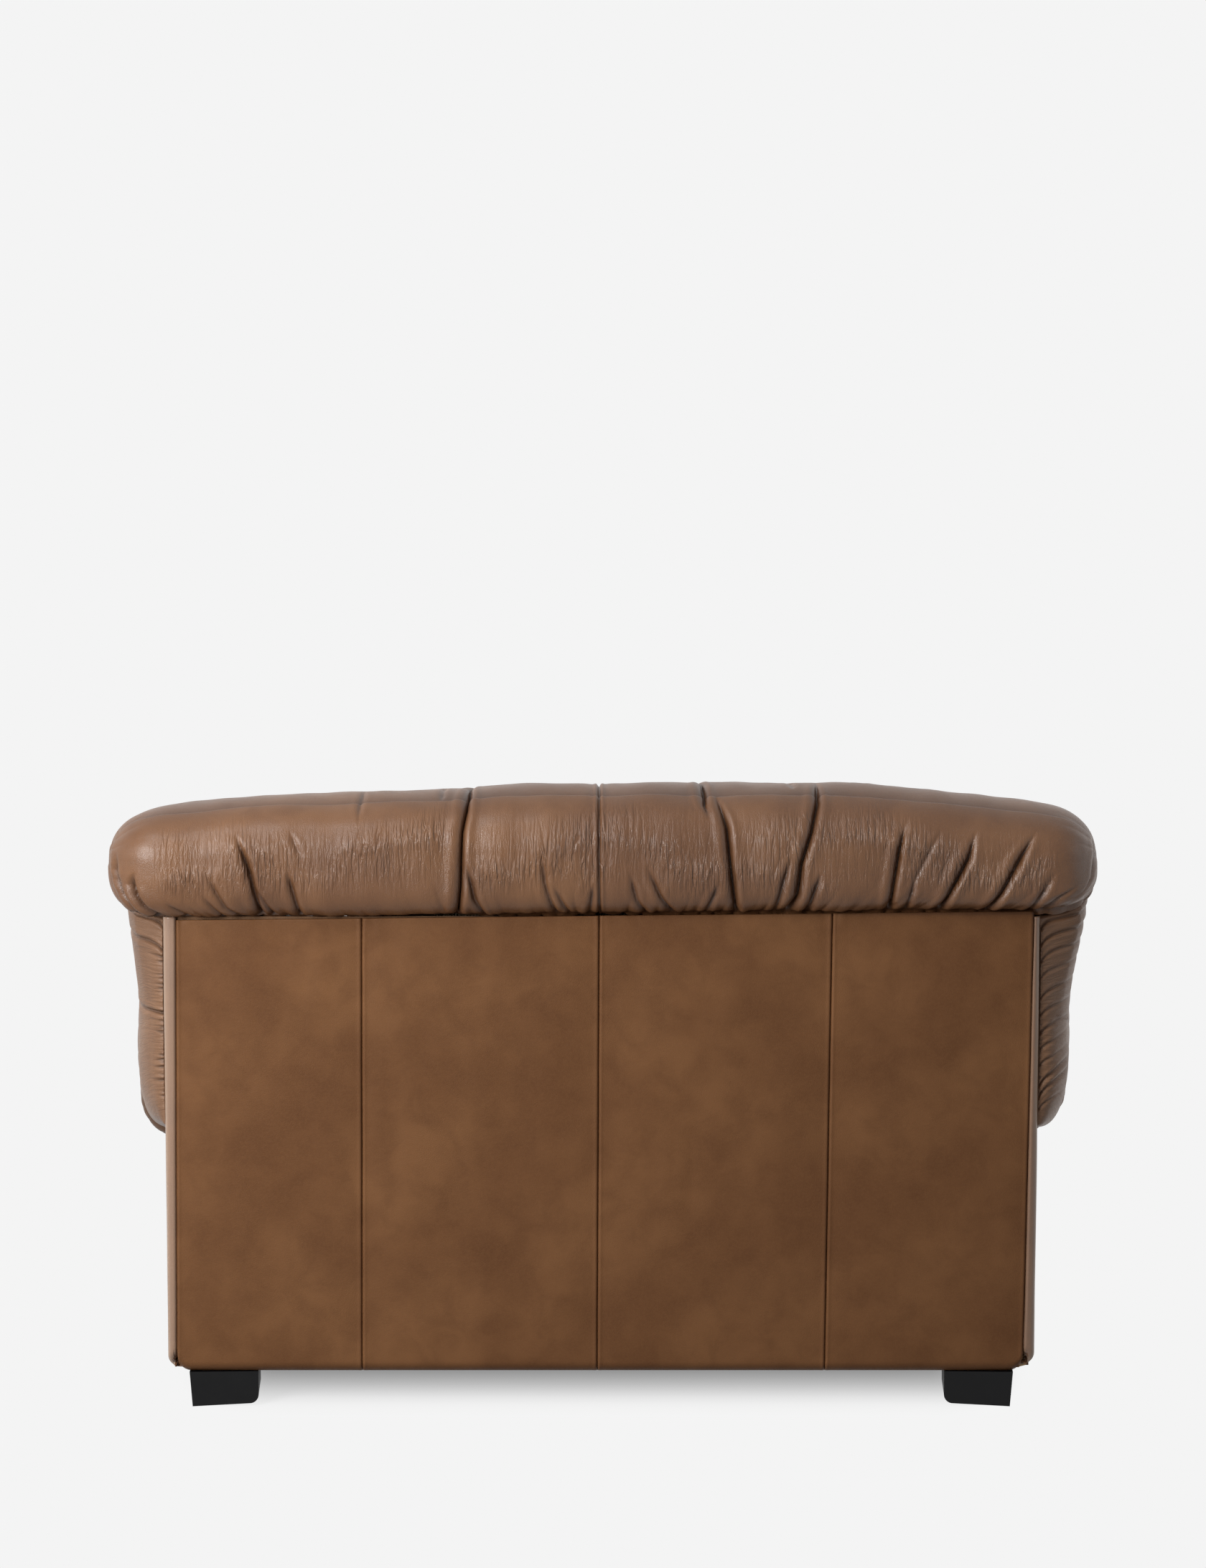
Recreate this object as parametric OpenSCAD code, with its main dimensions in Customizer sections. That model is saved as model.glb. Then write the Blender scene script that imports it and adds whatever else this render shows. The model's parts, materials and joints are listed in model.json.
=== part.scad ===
// Wide leather lounge chair with an overstuffed back roll and gathered arm pads.
// Millimetres. +Z is up, the sitter faces -Y, and +X is the sitter's left.
// The origin is on the floor, under the middle of the chair.

/* [Overall] */
// Height to the top of the back roll
overall_h = 700; // [660:5:760]
// Depth from the back roll to the arm fronts
overall_d = 900; // [840:5:960]
// Width of the leather box across the outside back
box_w = 970; // [900:5:1060]
// How far each side of the box leans out from back to front
side_splay = 46; // [20:1:70]
// Height of the top seam of the outside back
back_seam_h = 555; // [520:5:590]

/* [Feet] */
// Clear height under the box
foot_h = 40; // [30:1:60]
// Side of the square block foot
foot_w = 77; // [60:1:90]
// Radius of the foot's lower inner edge
foot_edge_r = 10; // [4:1:20]
// Distance of a foot from the sides of the box and from its front
foot_inset = 23; // [16:1:30]
// Distance of a rear foot from the outside back
foot_back_inset = 5; // [2:1:16]
// How much the foot's outer side leans in towards the floor
foot_taper = 3; // [0:0.5:6]
// How much higher the foot's inner lower edge is
foot_lift = 3; // [0:0.5:4]
// Thickness of the nylon glide let into a foot
glide_t = 4; // [3.5:0.5:6]
// How far the glide stands out of the foot
glide_proud = 0.6; // [0.4:0.2:1.2]
// Radius of the glide
glide_r = 14; // [8:1:20]
// Radius of the bolt that holds a foot
bolt_r = 4; // [3:0.5:6]

/* [Covers] */
// Leather with its wadding
leather_t = 5; // [4:0.5:8]
// Hardboard under the flat leather
board_t = 3; // [2:0.5:5]
// Radius of the box's upright corners
corner_r = 16; // [16:1:24]
// Radius of the turn under the bottom edge
hem_r = 13; // [8:1:13]
// Width of the leather turned under the box
hem_w = 46; // [40:2:60]
// How far the side leather runs up behind the pad
tuck = 60; // [40:5:70]
// Width of the upright strip at each end of the outside back
strip_w = 18; // [16:1:30]
// Distance of the outer back seams from the middle
seam_x = 264; // [220:2:320]
// Depth of a seam's groove
groove = 1.6; // [1:0.2:2.4]

/* [Frame] */
// Thickness of the rails
rail_t = 25; // [18:1:32]
// Height of the bottom rails
rail_h = 140; // [110:5:170]
// Side of a post across the arm
post_w = 50; // [40:1:60]
// Side of a post along the arm
post_d = 45; // [36:1:56]
// Height of the upper face of the arm rails
arm_rail_z = 500; // [470:5:520]
// How far the back's top rail is under the top of the roll
top_rail_drop = 60; // [50:5:80]
// Height of the back's middle rail
mid_rail_z = 300; // [280:5:340]
// Thickness of the bent sheet inside the arm
inner_board_t = 6; // [4:1:9]

/* [Suspension] */
// Wire of the seat springs
wire = 4; // [3:0.5:5]
// Number of seat springs
springs = 5; // [4:1:6]
// Distance between seat springs
spring_pitch = 108; // [96:2:112]
// Width of a seat spring
spring_w = 60; // [52:2:70]
// Height of the springs' underside
spring_z = 216; // [206:1:222]
// Thickness of the felt and foam over the springs
deck_t = 18; // [10:1:22]
// Distance of the rail behind the springs from the rear posts
spring_rail_ahead = 150; // [120:5:180]
// Height of the rail behind the springs
spring_rail_h = 60; // [40:5:80]

/* [Seat] */
// Thickness of the seat cushion at its crown
cushion_t = 182; // [150:2:200]
// Thickness of the seat cushion at its border
cushion_edge_t = 128; // [100:2:150]
// Distance of the cushion's nose from the arm fronts
nose_back = 8; // [0:1:30]

/* [Back] */
// How far the roll stands out behind the outside back
roll_proud = 24; // [16:1:32]
// Depth of the roll
roll_d = 178; // [160:2:190]
// Width of the roll
roll_w = 1102; // [1080:2:1130]
// Length of the rounding at each end of the roll
roll_end = 66; // [50:2:90]
// How much lower the roll is near its ends
roll_arch = 24; // [0:1:30]
// Depth of the inside back cushion
back_pad_t = 112; // [90:2:130]
// How much further back the cushion's upper part is
back_lean = 34; // [10:2:50]

/* [Arms] */
// Height of the arm pads in front of the roll
arm_h = 592; // [570:2:610]
// How much the arm pads fall towards the front
arm_fall = 22; // [0:2:40]
// How far an arm pad hangs out past the box, at the back
pad_out_rear = 30; // [24:1:46]
// How much further an arm pad spreads under the end of the roll
rear_flare = 34; // [0:2:40]
// How far an arm pad hangs out past the box, at the front
pad_out_front = 80; // [50:2:90]
// Depth of an arm pad's inner half, from the box's side face, at the back
pad_in_rear = 196; // [186:2:204]
// Depth of an arm pad's inner half, from the box's side face, at the front
pad_in_front = 214; // [206:2:226]
// Height of the pad's lower edge outside, at the back
pad_low_rear = 338; // [300:2:350]
// Height of the pad's lower edge, at the front
pad_low_front = 178; // [150:2:200]
// Depth of the puffed arm front
arm_front_d = 58; // [46:2:70]

/* [Hidden] */

gap = 0.3; // between soft pieces and what they lie against
clip_t = 1.5;
far = 2000; // longer than anything it cuts

// places along the depth, from back to front
back_y = overall_d / 2 - roll_proud;
frame_back_y = back_y - leather_t - board_t;
post_front_y = frame_back_y - post_d;
border_y = -overall_d / 2 + arm_front_d;
frame_front_y = border_y + leather_t;
box_d = back_y - border_y;
splay = atan(side_splay / box_d);
top_rail_z = overall_h - top_rail_drop;

// layers inside the box's side face, measured square to it
frame_off = leather_t + board_t;
post_off = frame_off + post_w;
inner_off = post_off + inner_board_t;

// heights
rail_z = foot_h + leather_t;
deck_z = spring_z + wire + clip_t + gap;
cushion_z = deck_z + deck_t;
border_h = cushion_z;

// corner blocks, and the bolts through them, inside the middle of the feet and clear of the posts
block_reach = 100;
block_h = 40;
bolt_in = 20;
bolt_low = 14;
bolt_high = rail_z + block_h - 6;
nut_r = bolt_r + 1.5;
nut_flange_r = 11;
nut_flange_t = 1.6;
rear_foot_y = back_y - foot_back_inset - foot_w / 2;
front_foot_y = border_y + foot_inset + foot_w / 2;

// springs, their clips and the straps of the back
spring_rail_y = post_front_y - spring_rail_ahead;
spring_span = spring_rail_y - rail_t / 2 - (frame_front_y + rail_t / 2);
spring_waves = 15;
wave = spring_span / spring_waves;
bend_steps = 6;
clip_l = spring_w - wave - 1;
clip_flange = 9;
strap_w = 55;
strap_t = 2;
straps = 7;
strap_hold = 15; // of each rail's face

// arm pads: where they start and end, the height their section is drawn about, and its squareness
arm_start = corner_r + 4;
rear_puff_l = 60;
front_draw_in = 9;
front_draw_l = 40;
arm_end = box_d - gap;
pad_mid_z = 410;
pad_n = 2.7;
pad_rear_n = 8; // squarer above, where the pad lies under the roll
gather_rear = [40, 260]; // where the gathers of the rear seam fade along the arm
gather_front = [160, 20]; // and those of the front seam, from the arm's front
arm_foam_t = 30;
arm_foam_in = 60;
arm_foam_out = 14;
front_ripple = 1.6;
roll_front_u = roll_d - roll_proud; // where the roll's front comes along the arm

// seat and inside back
back_foam_t = 58;
seat_foam_t = 90;
cushion_front_y = -overall_d / 2 + nose_back;
back_pad_y = post_front_y - strap_t - back_foam_t;
cushion_back_y = back_pad_y - back_pad_t;
cushion_side_gap = 4;
cushion_points = 44;
cushion_square = 0.24; // 1 is a round plan, 0 a square one
back_half = seat_half(post_front_y) - 2;
back_pad_top = back_seam_h;
back_points = 22;
back_rings = 27;
pad_folds = 5; // gathers on each side of the middle seam

// roll over the back
fold_half = 9;
roll_y = overall_d / 2 - roll_d / 2;
roll_low = back_seam_h + gap;
roll_points = 20;
roll_n = 2.4;
roll_low_n = 5; // squarer below, where the roll lies on the panels and the arms
end_steps = [0.35, 0.6, 0.78, 0.9, 0.97, 1];
roll_straight = roll_w / 2 - roll_end;
roll_foam_back = 8;
roll_foam_front = 50;
roll_foam_in = 35;
roll_foam_low = 18;
roll_foam_under = 20;
roll_foam_top = overall_h - roll_arch - roll_foam_under;

// leather on the box
strip_edge = box_w / 2 - strip_w;
hem_steps = 6;
corner_steps = 8;
hem_taper = 20;
pleat = 2; // left open round the axis of a corner, where the hem is gathered
cloth_t = 1;

// x of a plane parallel to the box's side face and off inside it
function side_x(y, off) = box_w / 2 + (back_y - y) * tan(splay) - off / cos(splay);
function lerp(a, b, t) = a + (b - a) * t;
function clamp(t) = min(1, max(0, t));
function smooth(a, b, v) = let (t = clamp((v - a) / (b - a))) t * t * (3 - 2 * t);
function spow(v, e) = sign(v) * pow(abs(v), e);
// half-width of a superellipse of exponent n at the share f of its other half-axis
function bow(f, n) = pow(max(0, 1 - pow(abs(f), n)), 1 / n);

// the left half as drawn, or its mirror image
module at_side(side) {
  if (side > 0) children();
  else mirror([1, 0, 0]) children();
}

// a slab that follows the leaning side of the box
module side_slab(off0, off1, y0, y1, z0, z1) {
  translate([0, 0, z0]) linear_extrude(z1 - z0)
    polygon([[side_x(y0, off0), y0], [side_x(y1, off0), y1], [side_x(y1, off1), y1], [side_x(y0, off1), y0]]);
}

// a board across the chair, cut to the leaning sides off inside them
module cross_slab(off, y0, y1, z0, z1) {
  translate([0, 0, z0]) linear_extrude(z1 - z0)
    polygon([[side_x(y0, off), y0], [side_x(y1, off), y1], [-side_x(y1, off), y1], [-side_x(y0, off), y0]]);
}

// a closed skin over rings of as many points each, which turn right-handed about the way they advance,
// with a fan from the first point at each end
module skin(rings) {
  n = len(rings[0]);
  last = (len(rings) - 1) * n;
  walls = [
    for (j = [0:len(rings) - 2], i = [0:n - 1])
      let (a = j * n + i, b = j * n + (i + 1) % n) each [[a, a + n, b], [b, a + n, b + n]]
  ];
  first_cap = [for (i = [1:n - 2]) [0, i, i + 1]];
  last_cap = [for (i = [1:n - 2]) [last, last + i + 1, last + i]];
  polyhedron([for (ring = rings) each ring], concat(walls, first_cap, last_cap));
}

// Frame

module wood() {
  color("burlywood") children();
}

module rear_rail() {
  wood() cross_slab(post_off, frame_back_y, frame_back_y - rail_t, rail_z, rail_z + rail_h);
}

module front_rail() {
  wood() cross_slab(post_off, frame_front_y + rail_t, frame_front_y, rail_z, spring_z);
}

module side_rail(side) {
  wood() at_side(side)
    side_slab(frame_off, frame_off + rail_t, post_front_y, frame_front_y + post_d, rail_z, rail_z + rail_h);
}

// a post in a corner of the box, bevelled where the leather turns; dir is 1 at the back and -1 at the front
module post(y0, y1, dir, z1) {
  bevel = corner_r - frame_off;
  translate([0, 0, rail_z]) linear_extrude(z1 - rail_z) polygon([
    [side_x(y0, post_off), y0], [side_x(y0, corner_r), y0],
    [side_x(y0 - dir * bevel, frame_off), y0 - dir * bevel],
    [side_x(y1, frame_off), y1], [side_x(y1, post_off), y1]
  ]);
}

module rear_post(side) {
  wood() at_side(side) post(frame_back_y, post_front_y, 1, top_rail_z);
}

module front_post(side) {
  wood() at_side(side) post(frame_front_y, frame_front_y + post_d, -1, arm_rail_z - rail_t);
}

module arm_rail(side) {
  wood() at_side(side)
    side_slab(frame_off, post_off, post_front_y, frame_front_y, arm_rail_z - rail_t, arm_rail_z);
}

module back_rail(z) {
  wood() cross_slab(post_off, frame_back_y, post_front_y, z - post_d, z);
}

// the rail that the springs' rear ends are clipped to, between the side rails
module spring_rail() {
  wood() cross_slab(frame_off + rail_t, spring_rail_y, spring_rail_y - rail_t, spring_z - spring_rail_h, spring_z);
}

// a glued block in each corner of the base, notched round the post and drilled for the foot's bolt
module corner_block_outline(rail_y, post_y, dir) {
  polygon([
    [side_x(post_y, post_off) - block_reach, rail_y], [side_x(rail_y, post_off), rail_y],
    [side_x(post_y, post_off), post_y], [side_x(post_y, frame_off + rail_t), post_y],
    [side_x(post_y + dir * block_reach, frame_off + rail_t), post_y + dir * block_reach]
  ]);
}

module corner_blocks() {
  wood() for (side = [-1, 1]) at_side(side) {
    difference() {
      translate([0, 0, rail_z]) linear_extrude(block_h)
        corner_block_outline(frame_back_y - rail_t, post_front_y, -1);
      bolt_hole(rear_foot_y, nut_r, rail_z);
    }
    difference() {
      translate([0, 0, rail_z]) linear_extrude(block_h)
        corner_block_outline(frame_front_y + rail_t, frame_front_y + post_d, 1);
      bolt_hole(front_foot_y, nut_r, rail_z);
    }
  }
}

module hardboard() {
  color("saddlebrown") children();
}

module back_board() {
  hardboard() cross_slab(corner_r, back_y - leather_t, frame_back_y, rail_z, back_seam_h);
}

// everything under a line that runs up behind the pad and falls with its lower edge,
// and everything behind y
function tuck_z(y) = lerp(pad_low_front, pad_low_rear, (y - border_y) / box_d) + tuck;
module under_tuck(grow, y = back_y) {
  rotate([90, 0, 90]) linear_extrude(far) polygon([
    [far, 0], [far, far], [y, far], [y, tuck_z(y) + grow],
    [border_y - 1, tuck_z(border_y) + grow], [border_y - 1, 0]
  ]);
}

module side_board(side) {
  hardboard() at_side(side) intersection() {
    side_slab(leather_t, frame_off, corner_y(1), corner_y(-1) + 1, rail_z, back_seam_h);
    under_tuck(0);
  }
}

module arm_board(side) {
  hardboard() at_side(side)
    side_slab(post_off, inner_off, post_front_y - strap_t - gap, frame_front_y, spring_z, arm_rail_z);
}

// Suspension

// the outline of a bent wire, once along one side of its middle line and back along the other
function bend_point(k, i, r) =
  let (side = k % 2 == 0 ? 1 : -1, a = -90 + 180 * i / bend_steps)
  [side * (spring_w / 2 - wave / 2 + r * cos(a)), wave * (k + 0.5) + r * sin(a)];
function wire_side(half) = concat(
  [[wave / 2 - spring_w / 2, -half]],
  [
    for (k = [0:spring_waves - 1], i = [0:bend_steps])
      bend_point(k, i, wave / 2 + (k % 2 == 0 ? half : -half))
  ],
  [[wave / 2 - spring_w / 2, spring_span + half]]
);
module spring_outline() {
  back = wire_side(-wire / 2);
  polygon(concat(wire_side(wire / 2), [for (i = [len(back) - 1:-1:0]) back[i]]));
}

function spring_x(k) = (k - (springs - 1) / 2) * spring_pitch;

module seat_springs() {
  color("dimgray") for (k = [0:springs - 1])
    translate([spring_x(k), frame_front_y + rail_t / 2, spring_z]) linear_extrude(wire) spring_outline();
}

// a bent steel clip over the end of a spring, with a flange for its nail
module clip() {
  mouth = wire + 2 * gap;
  rotate([90, 0, 90]) linear_extrude(clip_l, center = true) {
    difference() {
      translate([-mouth / 2 - clip_t, 0]) square([mouth + 2 * clip_t, wire + gap + clip_t]);
      translate([-mouth / 2, -1]) square([mouth, wire + gap + 1]);
    }
    translate([-mouth / 2 - clip_t - clip_flange, 0]) square([clip_flange + clip_t, clip_t]);
  }
}

module spring_clips() {
  color("silver") for (k = [0:springs - 1]) {
    translate([spring_x(k), frame_front_y + rail_t / 2, spring_z]) mirror([0, 1, 0]) clip();
    translate([spring_x(k), spring_rail_y - rail_t / 2, spring_z]) clip();
  }
}

// elastic straps over the front of the back's two rails
module back_webbing() {
  pitch = 2 * back_half / straps;
  color("black") for (k = [0:straps - 1])
    translate([(k - (straps - 1) / 2) * pitch - strap_w / 2, post_front_y - strap_t, mid_rail_z - strap_hold])
      cube([strap_w, strap_t, top_rail_z - post_d - mid_rail_z + 2 * strap_hold]);
}

// Seat

module seat_deck() {
  color("dimgray") cross_slab(inner_off + gap, spring_rail_y, frame_front_y + gap, deck_z, cushion_z);
}

// half-width of the seat between the arm pads
function seat_half(y) = side_x(y, pad_in(back_y - y)) - cushion_side_gap;

// how full each ring is, and its height as a share of the cushion's thickness
cushion_rings = [
  [0.62, 0, 0], [0.93, 0.01, 0], [0.985, 0.1, 0], [1, 0.3, 0], [1, 0.62, 0], [0.975, 0.9, 0],
  [0.93, 1, 0], [0.84, 1, 0.3], [0.66, 1, 0.7], [0.42, 1, 0.93], [0.18, 1, 1]
];

// corner form of the cushion's plan: straight sides, round corners, drawn in a little between them
function cushion_plan(a, fill) =
  let (
    c = spow(cos(a), cushion_square), s = spow(sin(a), cushion_square), half_d = (cushion_back_y - cushion_front_y) / 2,
    y = (cushion_back_y + cushion_front_y) / 2 + half_d * s * fill * (1 - 0.012 * pow(cos(a), 2))
  )
  [seat_half(y) * c * fill * (1 - 0.01 * pow(sin(a), 2)), y];

module seat_form() {
  skin([
    for (r = cushion_rings) [
      for (i = [0:cushion_points - 1])
        let (p = cushion_plan(360 * i / cushion_points, r[0]))
        [p[0], p[1], cushion_z + gap + r[1] * cushion_edge_t + r[2] * (cushion_t - cushion_edge_t)]
    ]
  ]);
}

module seat_foam_block(grow) {
  translate([0, 0, cushion_z + 20 - grow])
    linear_extrude(seat_foam_t + 2 * grow)
      polygon([
        for (q = [[1, -1], [1, 1], [-1, 1], [-1, -1]])
          let (y = q[1] > 0 ? cushion_back_y - 45 + grow : cushion_front_y + 45 - grow)
          [q[0] * (seat_half(y) - 40 + grow), y]
      ]);
}

module seat_foam() {
  color("lemonchiffon") seat_foam_block(0);
}

module seat_cushion() {
  color("#7b5a3f") difference() {
    seat_form();
    seat_foam_block(gap);
  }
}

// Back

module back_foam() {
  color("lemonchiffon")
    translate([-back_half, back_pad_y, cushion_z + gap])
      cube([2 * back_half, back_foam_t, back_pad_top - cushion_z - gap]);
}

// the inside back cushion: rings from side to side, each a flat-backed bulge that leans back
function back_bulge(x, z) =
  let (
    fx = x / back_half, fz = (z - cushion_z) / (back_pad_top - cushion_z),
    gather = smooth(0.62, 1, fz) + smooth(0.45, 0, fz) * 0.4,
    fold = cos(360 * pad_folds * abs(fx)) * 4 * gather * (1 - pow(fx, 4)),
    seam = 7 * exp(-pow(x / 9, 2))
  )
  (back_pad_t - back_lean * fz * fz) * bow(fx, 7) * bow(2 * fz - 1, 6) + fold - seam;
module back_form() {
  skin([
    for (j = [0:back_rings - 1])
      let (x = back_half * 0.995 * sin(90 * (2 * j / (back_rings - 1) - 1)))
      concat(
        [[x, back_pad_y - gap, cushion_z + 2], [x, back_pad_y - gap, back_pad_top]],
        [
          for (i = [0:back_points - 1])
            let (f = cos(180 * (i + 0.5) / back_points), z = lerp(cushion_z, back_pad_top, 0.5 + 0.5 * f))
            [x, back_pad_y - gap - max(6, back_bulge(x, z)), z]
        ]
      )
  ]);
}

module back_cushion() {
  color("#7b5a3f") back_form();
}

// The roll over the top of the back.
// Each fold: x at the seam, x at the top, how far up it runs, and its depth.
roll_folds = [
  [375, 404, 0.75, 6], [332, 350, 0.5, 4], [163, 138, 1.3, 8], [128, 150, 0.55, 4], [49, 68, 0.6, 4],
  [0, 0, 1.3, 4], [-80, -48, 0.5, 4], [-147, -126, 1.2, 7], [-205, -240, 1.2, 7], [-319, -338, 0.8, 6],
  [-379, -414, 0.8, 6], [-430, -480, 0.8, 6]
];
// where each ring crosses the seam and the top, its fold's reach and depth
roll_stations = concat(
  [for (k = [5:-1:0]) roll_end_station(k, 1)],
  [[450, 462, 0.4, 1]],
  [
    for (k = [0:len(roll_folds) - 1])
      let (f = roll_folds[k], g = roll_folds[min(k + 1, len(roll_folds) - 1)])
      each concat(
        [beside_fold(f, fold_half), f, beside_fold(f, -fold_half)],
        f[0] - g[0] > 3 * fold_half ? [[(f[0] + g[0]) / 2, (f[1] + g[1]) / 2, 1.1, 0]] : []
      )
  ],
  [for (k = [0:5]) roll_end_station(k, -1)]
);
function roll_end_station(k, side) =
  let (x = side * (roll_straight + roll_end * end_steps[k] * 0.998)) [x, x, 0, 0];
function beside_fold(f, d) = [f[0] + d, f[1] + d, f[2], 1.5];

function roll_top(x) = overall_h - roll_arch * pow(abs(x) / roll_straight, 2.3);
function roll_fill(x) = bow(max(0, abs(x) - roll_straight) / roll_end, 2.3);
// height of the roll's underside, which rises round its ends
function roll_under(x) = roll_low + (roll_top(x) - roll_low) / 2 * (1 - roll_fill(x));
function roll_ring(s) = [
  for (i = [0:roll_points - 1])
    let (
      a = -360 * (i + 0.5) / roll_points, up = sin(a), share = clamp(0.5 + 0.56 * up),
      x = lerp(s[0], s[1], share), fill = roll_fill(x), half_h = (roll_top(x) - roll_low) / 2,
      depth = s[3] * (1 - smooth(s[2] * 0.75, s[2], share)) * smooth(0.02, 0.2, share),
      ra = roll_d / 2 * fill - depth, rb = half_h * fill - depth * max(0, up),
      n = up > 0 ? roll_n : roll_low_n
    )
    [x, roll_y + ra * spow(cos(a), 2 / n), roll_low + half_h + rb * spow(up, 2 / n)]
];

module roll_core(grow) {
  x = roll_straight - roll_foam_in + grow;
  z = roll_low + roll_foam_low - grow;
  translate([-x, post_front_y - roll_foam_front - grow, z])
    cube([2 * x, post_d + roll_foam_front + roll_foam_back + 2 * grow, roll_foam_top + grow - z]);
}

module back_frame_space(grow) {
  side = side_x(frame_back_y, frame_off) + side_splay / 4 + grow;
  translate([-side, post_front_y - strap_t - grow, 0])
    cube([2 * side, post_d + strap_t + 2 * grow, top_rail_z + grow]);
}

module roll_foam() {
  color("lemonchiffon") difference() {
    roll_core(0);
    back_frame_space(gap);
  }
}

module back_roll() {
  color("#7f5e44") difference() {
    skin([for (s = roll_stations) roll_ring(s)]);
    roll_core(gap);
    back_frame_space(gap);
  }
}

// Arms

// u runs from the outside back along the arm towards its front
function arm_t(u) = clamp((u - arm_start) / (arm_end - arm_start));
function pad_in(u) = lerp(pad_in_rear, pad_in_front, arm_t(u));
// the pad leaves the corner seam in a tight curve, and is drawn in again at its front seam
function rear_puff(u) =
  let (k = clamp((u - arm_start + 2) / rear_puff_l))
  sqrt(k * (2 - k));
function front_draw(u) = front_draw_in * smooth(box_d - front_draw_l, box_d, u);
function pad_out(u) = lerp(pad_out_rear, pad_out_front, pow(arm_t(u), 0.9)) * rear_puff(u) - front_draw(u);
function ahead_of_roll(u) = smooth(roll_front_u - 30, roll_front_u + 90, u);
// height of the pad's top at the place x across it: under the roll it follows the roll's end
function pad_top(u, x) =
  lerp(roll_under(min(x, roll_w / 2)) - gap, arm_h - arm_fall * arm_t(u), ahead_of_roll(u)) - front_draw(u);
function flare(u) = rear_flare * smooth(arm_start, arm_start + 24, u) * (1 - ahead_of_roll(u));
function pad_low(u) = lerp(pad_low_rear, pad_low_front, arm_t(u)) + front_draw(u);
// gathers on the outer face between its end seams, as shares of the half-height: odd places are creases
outer_steps = [-0.73, -0.62, -0.48, -0.33, -0.18, -0.02, 0.14, 0.3, 0.46, 0.6];
// then over the top, as angles from the outer side to the inner one
top_turns = [40, 55, 70, 90, 110, 125, 140];
inner_steps = [0.52, 0.26, 0, -0.28, -0.54, -0.75];
low_steps = [-0.72, -0.3, 0.3, 0.72];
function gather(u) =
  0.35 + 0.65 * (1 - smooth(gather_rear[0], gather_rear[1], u))
  + 0.5 * smooth(box_d - gather_front[0], box_d - gather_front[1], u);
function pad_ring(u) =
  let (
    y = back_y - u, x0 = side_x(y, pad_in(u) - front_draw(u)), x1 = side_x(y, -pad_out(u)),
    xc = (x0 + x1) / 2, a = (x1 - x0) / 2, up = pad_top(u, xc) - pad_mid_z, down = pad_mid_z - cushion_z - gap,
    drop = pad_low(u) - cushion_z, n = lerp(pad_rear_n, pad_n, ahead_of_roll(u))
  )
  concat(
    [for (k = [0:len(outer_steps) - 1])
      let (f = outer_steps[k], d = (k % 2 == 1 ? -3.5 : 1.5) * gather(u) * (u > arm_start && u < arm_end ? 1 : 0))
      [xc + a * bow(f, f > 0 ? n : pad_n) + d, y, pad_mid_z + (f > 0 ? up : down) * f + (f < 0 ? -f * drop : 0)]],
    [for (t = top_turns) over_top(xc, a, y, u, t, t < 90 ? n : pad_n)],
    [for (f = inner_steps) [xc - a * bow(f, pad_n), y, pad_mid_z + (f > 0 ? up : down) * f]],
    [for (g = low_steps) [xc + a * g, y, pad_mid_z - down * bow(g, pad_n) + (g > 0.5 ? g * drop : 0)]]
  );
function over_top(xc, a, y, u, t, n) =
  let (
    c = spow(cos(t), 2 / n), s = spow(sin(t), 2 / n),
    x = xc + a * c + flare(u) * smooth(0.6, 1, s) * (t < 90 ? c * c : 0)
  )
  [x, y, pad_mid_z + (pad_top(u, x) - pad_mid_z) * s];

arm_stations = concat(
  [arm_start, arm_start + 6, arm_start + 16, arm_start + 32, arm_start + 54, arm_start + 80],
  [for (k = [0:4]) roll_front_u - 30 + 30 * k],
  [for (k = [1:9]) lerp(roll_front_u + 90, box_d - 50, k / 9)],
  [box_d - 36, box_d - 20, box_d - 8, arm_end]
);

module arm_core(grow) {
  y0 = post_front_y - gap + grow;
  y1 = frame_front_y + gap - grow;
  outer = frame_off - arm_foam_out - grow;
  inner = inner_off + arm_foam_in + grow;
  outer_low = pad_low_rear + tuck + 2 * gap - grow;
  side_slab(outer, inner, y0, y1, arm_rail_z, arm_rail_z + arm_foam_t + grow);
  side_slab(inner_off - grow, inner, y0, y1, cushion_z + 8, arm_rail_z + 1);
  side_slab(outer, frame_off + grow, y0, y1, outer_low, arm_rail_z + 1);
}

// the arm's wall, with the sheets on both sides of it
module arm_wall_space(grow) {
  intersection() {
    side_slab(-grow, inner_off + grow, back_y + gap, border_y - gap, 0, back_seam_h);
    under_tuck(grow);
  }
  side_slab(frame_off - grow, inner_off + grow, back_y + gap, frame_front_y - grow, 0, arm_rail_z + grow);
}

module arm_foam(side) {
  color("lemonchiffon") at_side(side) difference() {
    arm_core(0);
    side_slab(frame_off - gap, inner_off + gap, back_y, border_y, 0, arm_rail_z + gap);
  }
}

module arm_pad(side) {
  color("#7b5a3f") at_side(side) difference() {
    skin([for (u = arm_stations) pad_ring(u)]);
    arm_core(gap);
    arm_wall_space(gap);
    // the back frame, its webbing and the upright strip
    side_slab(post_off - gap, far, back_y + gap, post_front_y - strap_t - gap, 0, far);
    side_slab(frame_off - gap, far, back_y + gap, post_front_y - gap, 0, far);
    // the front border
    cross_slab(-gap, frame_front_y + gap, border_y - gap, 0, pad_low_front + tuck + gap);
  }
}

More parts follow.
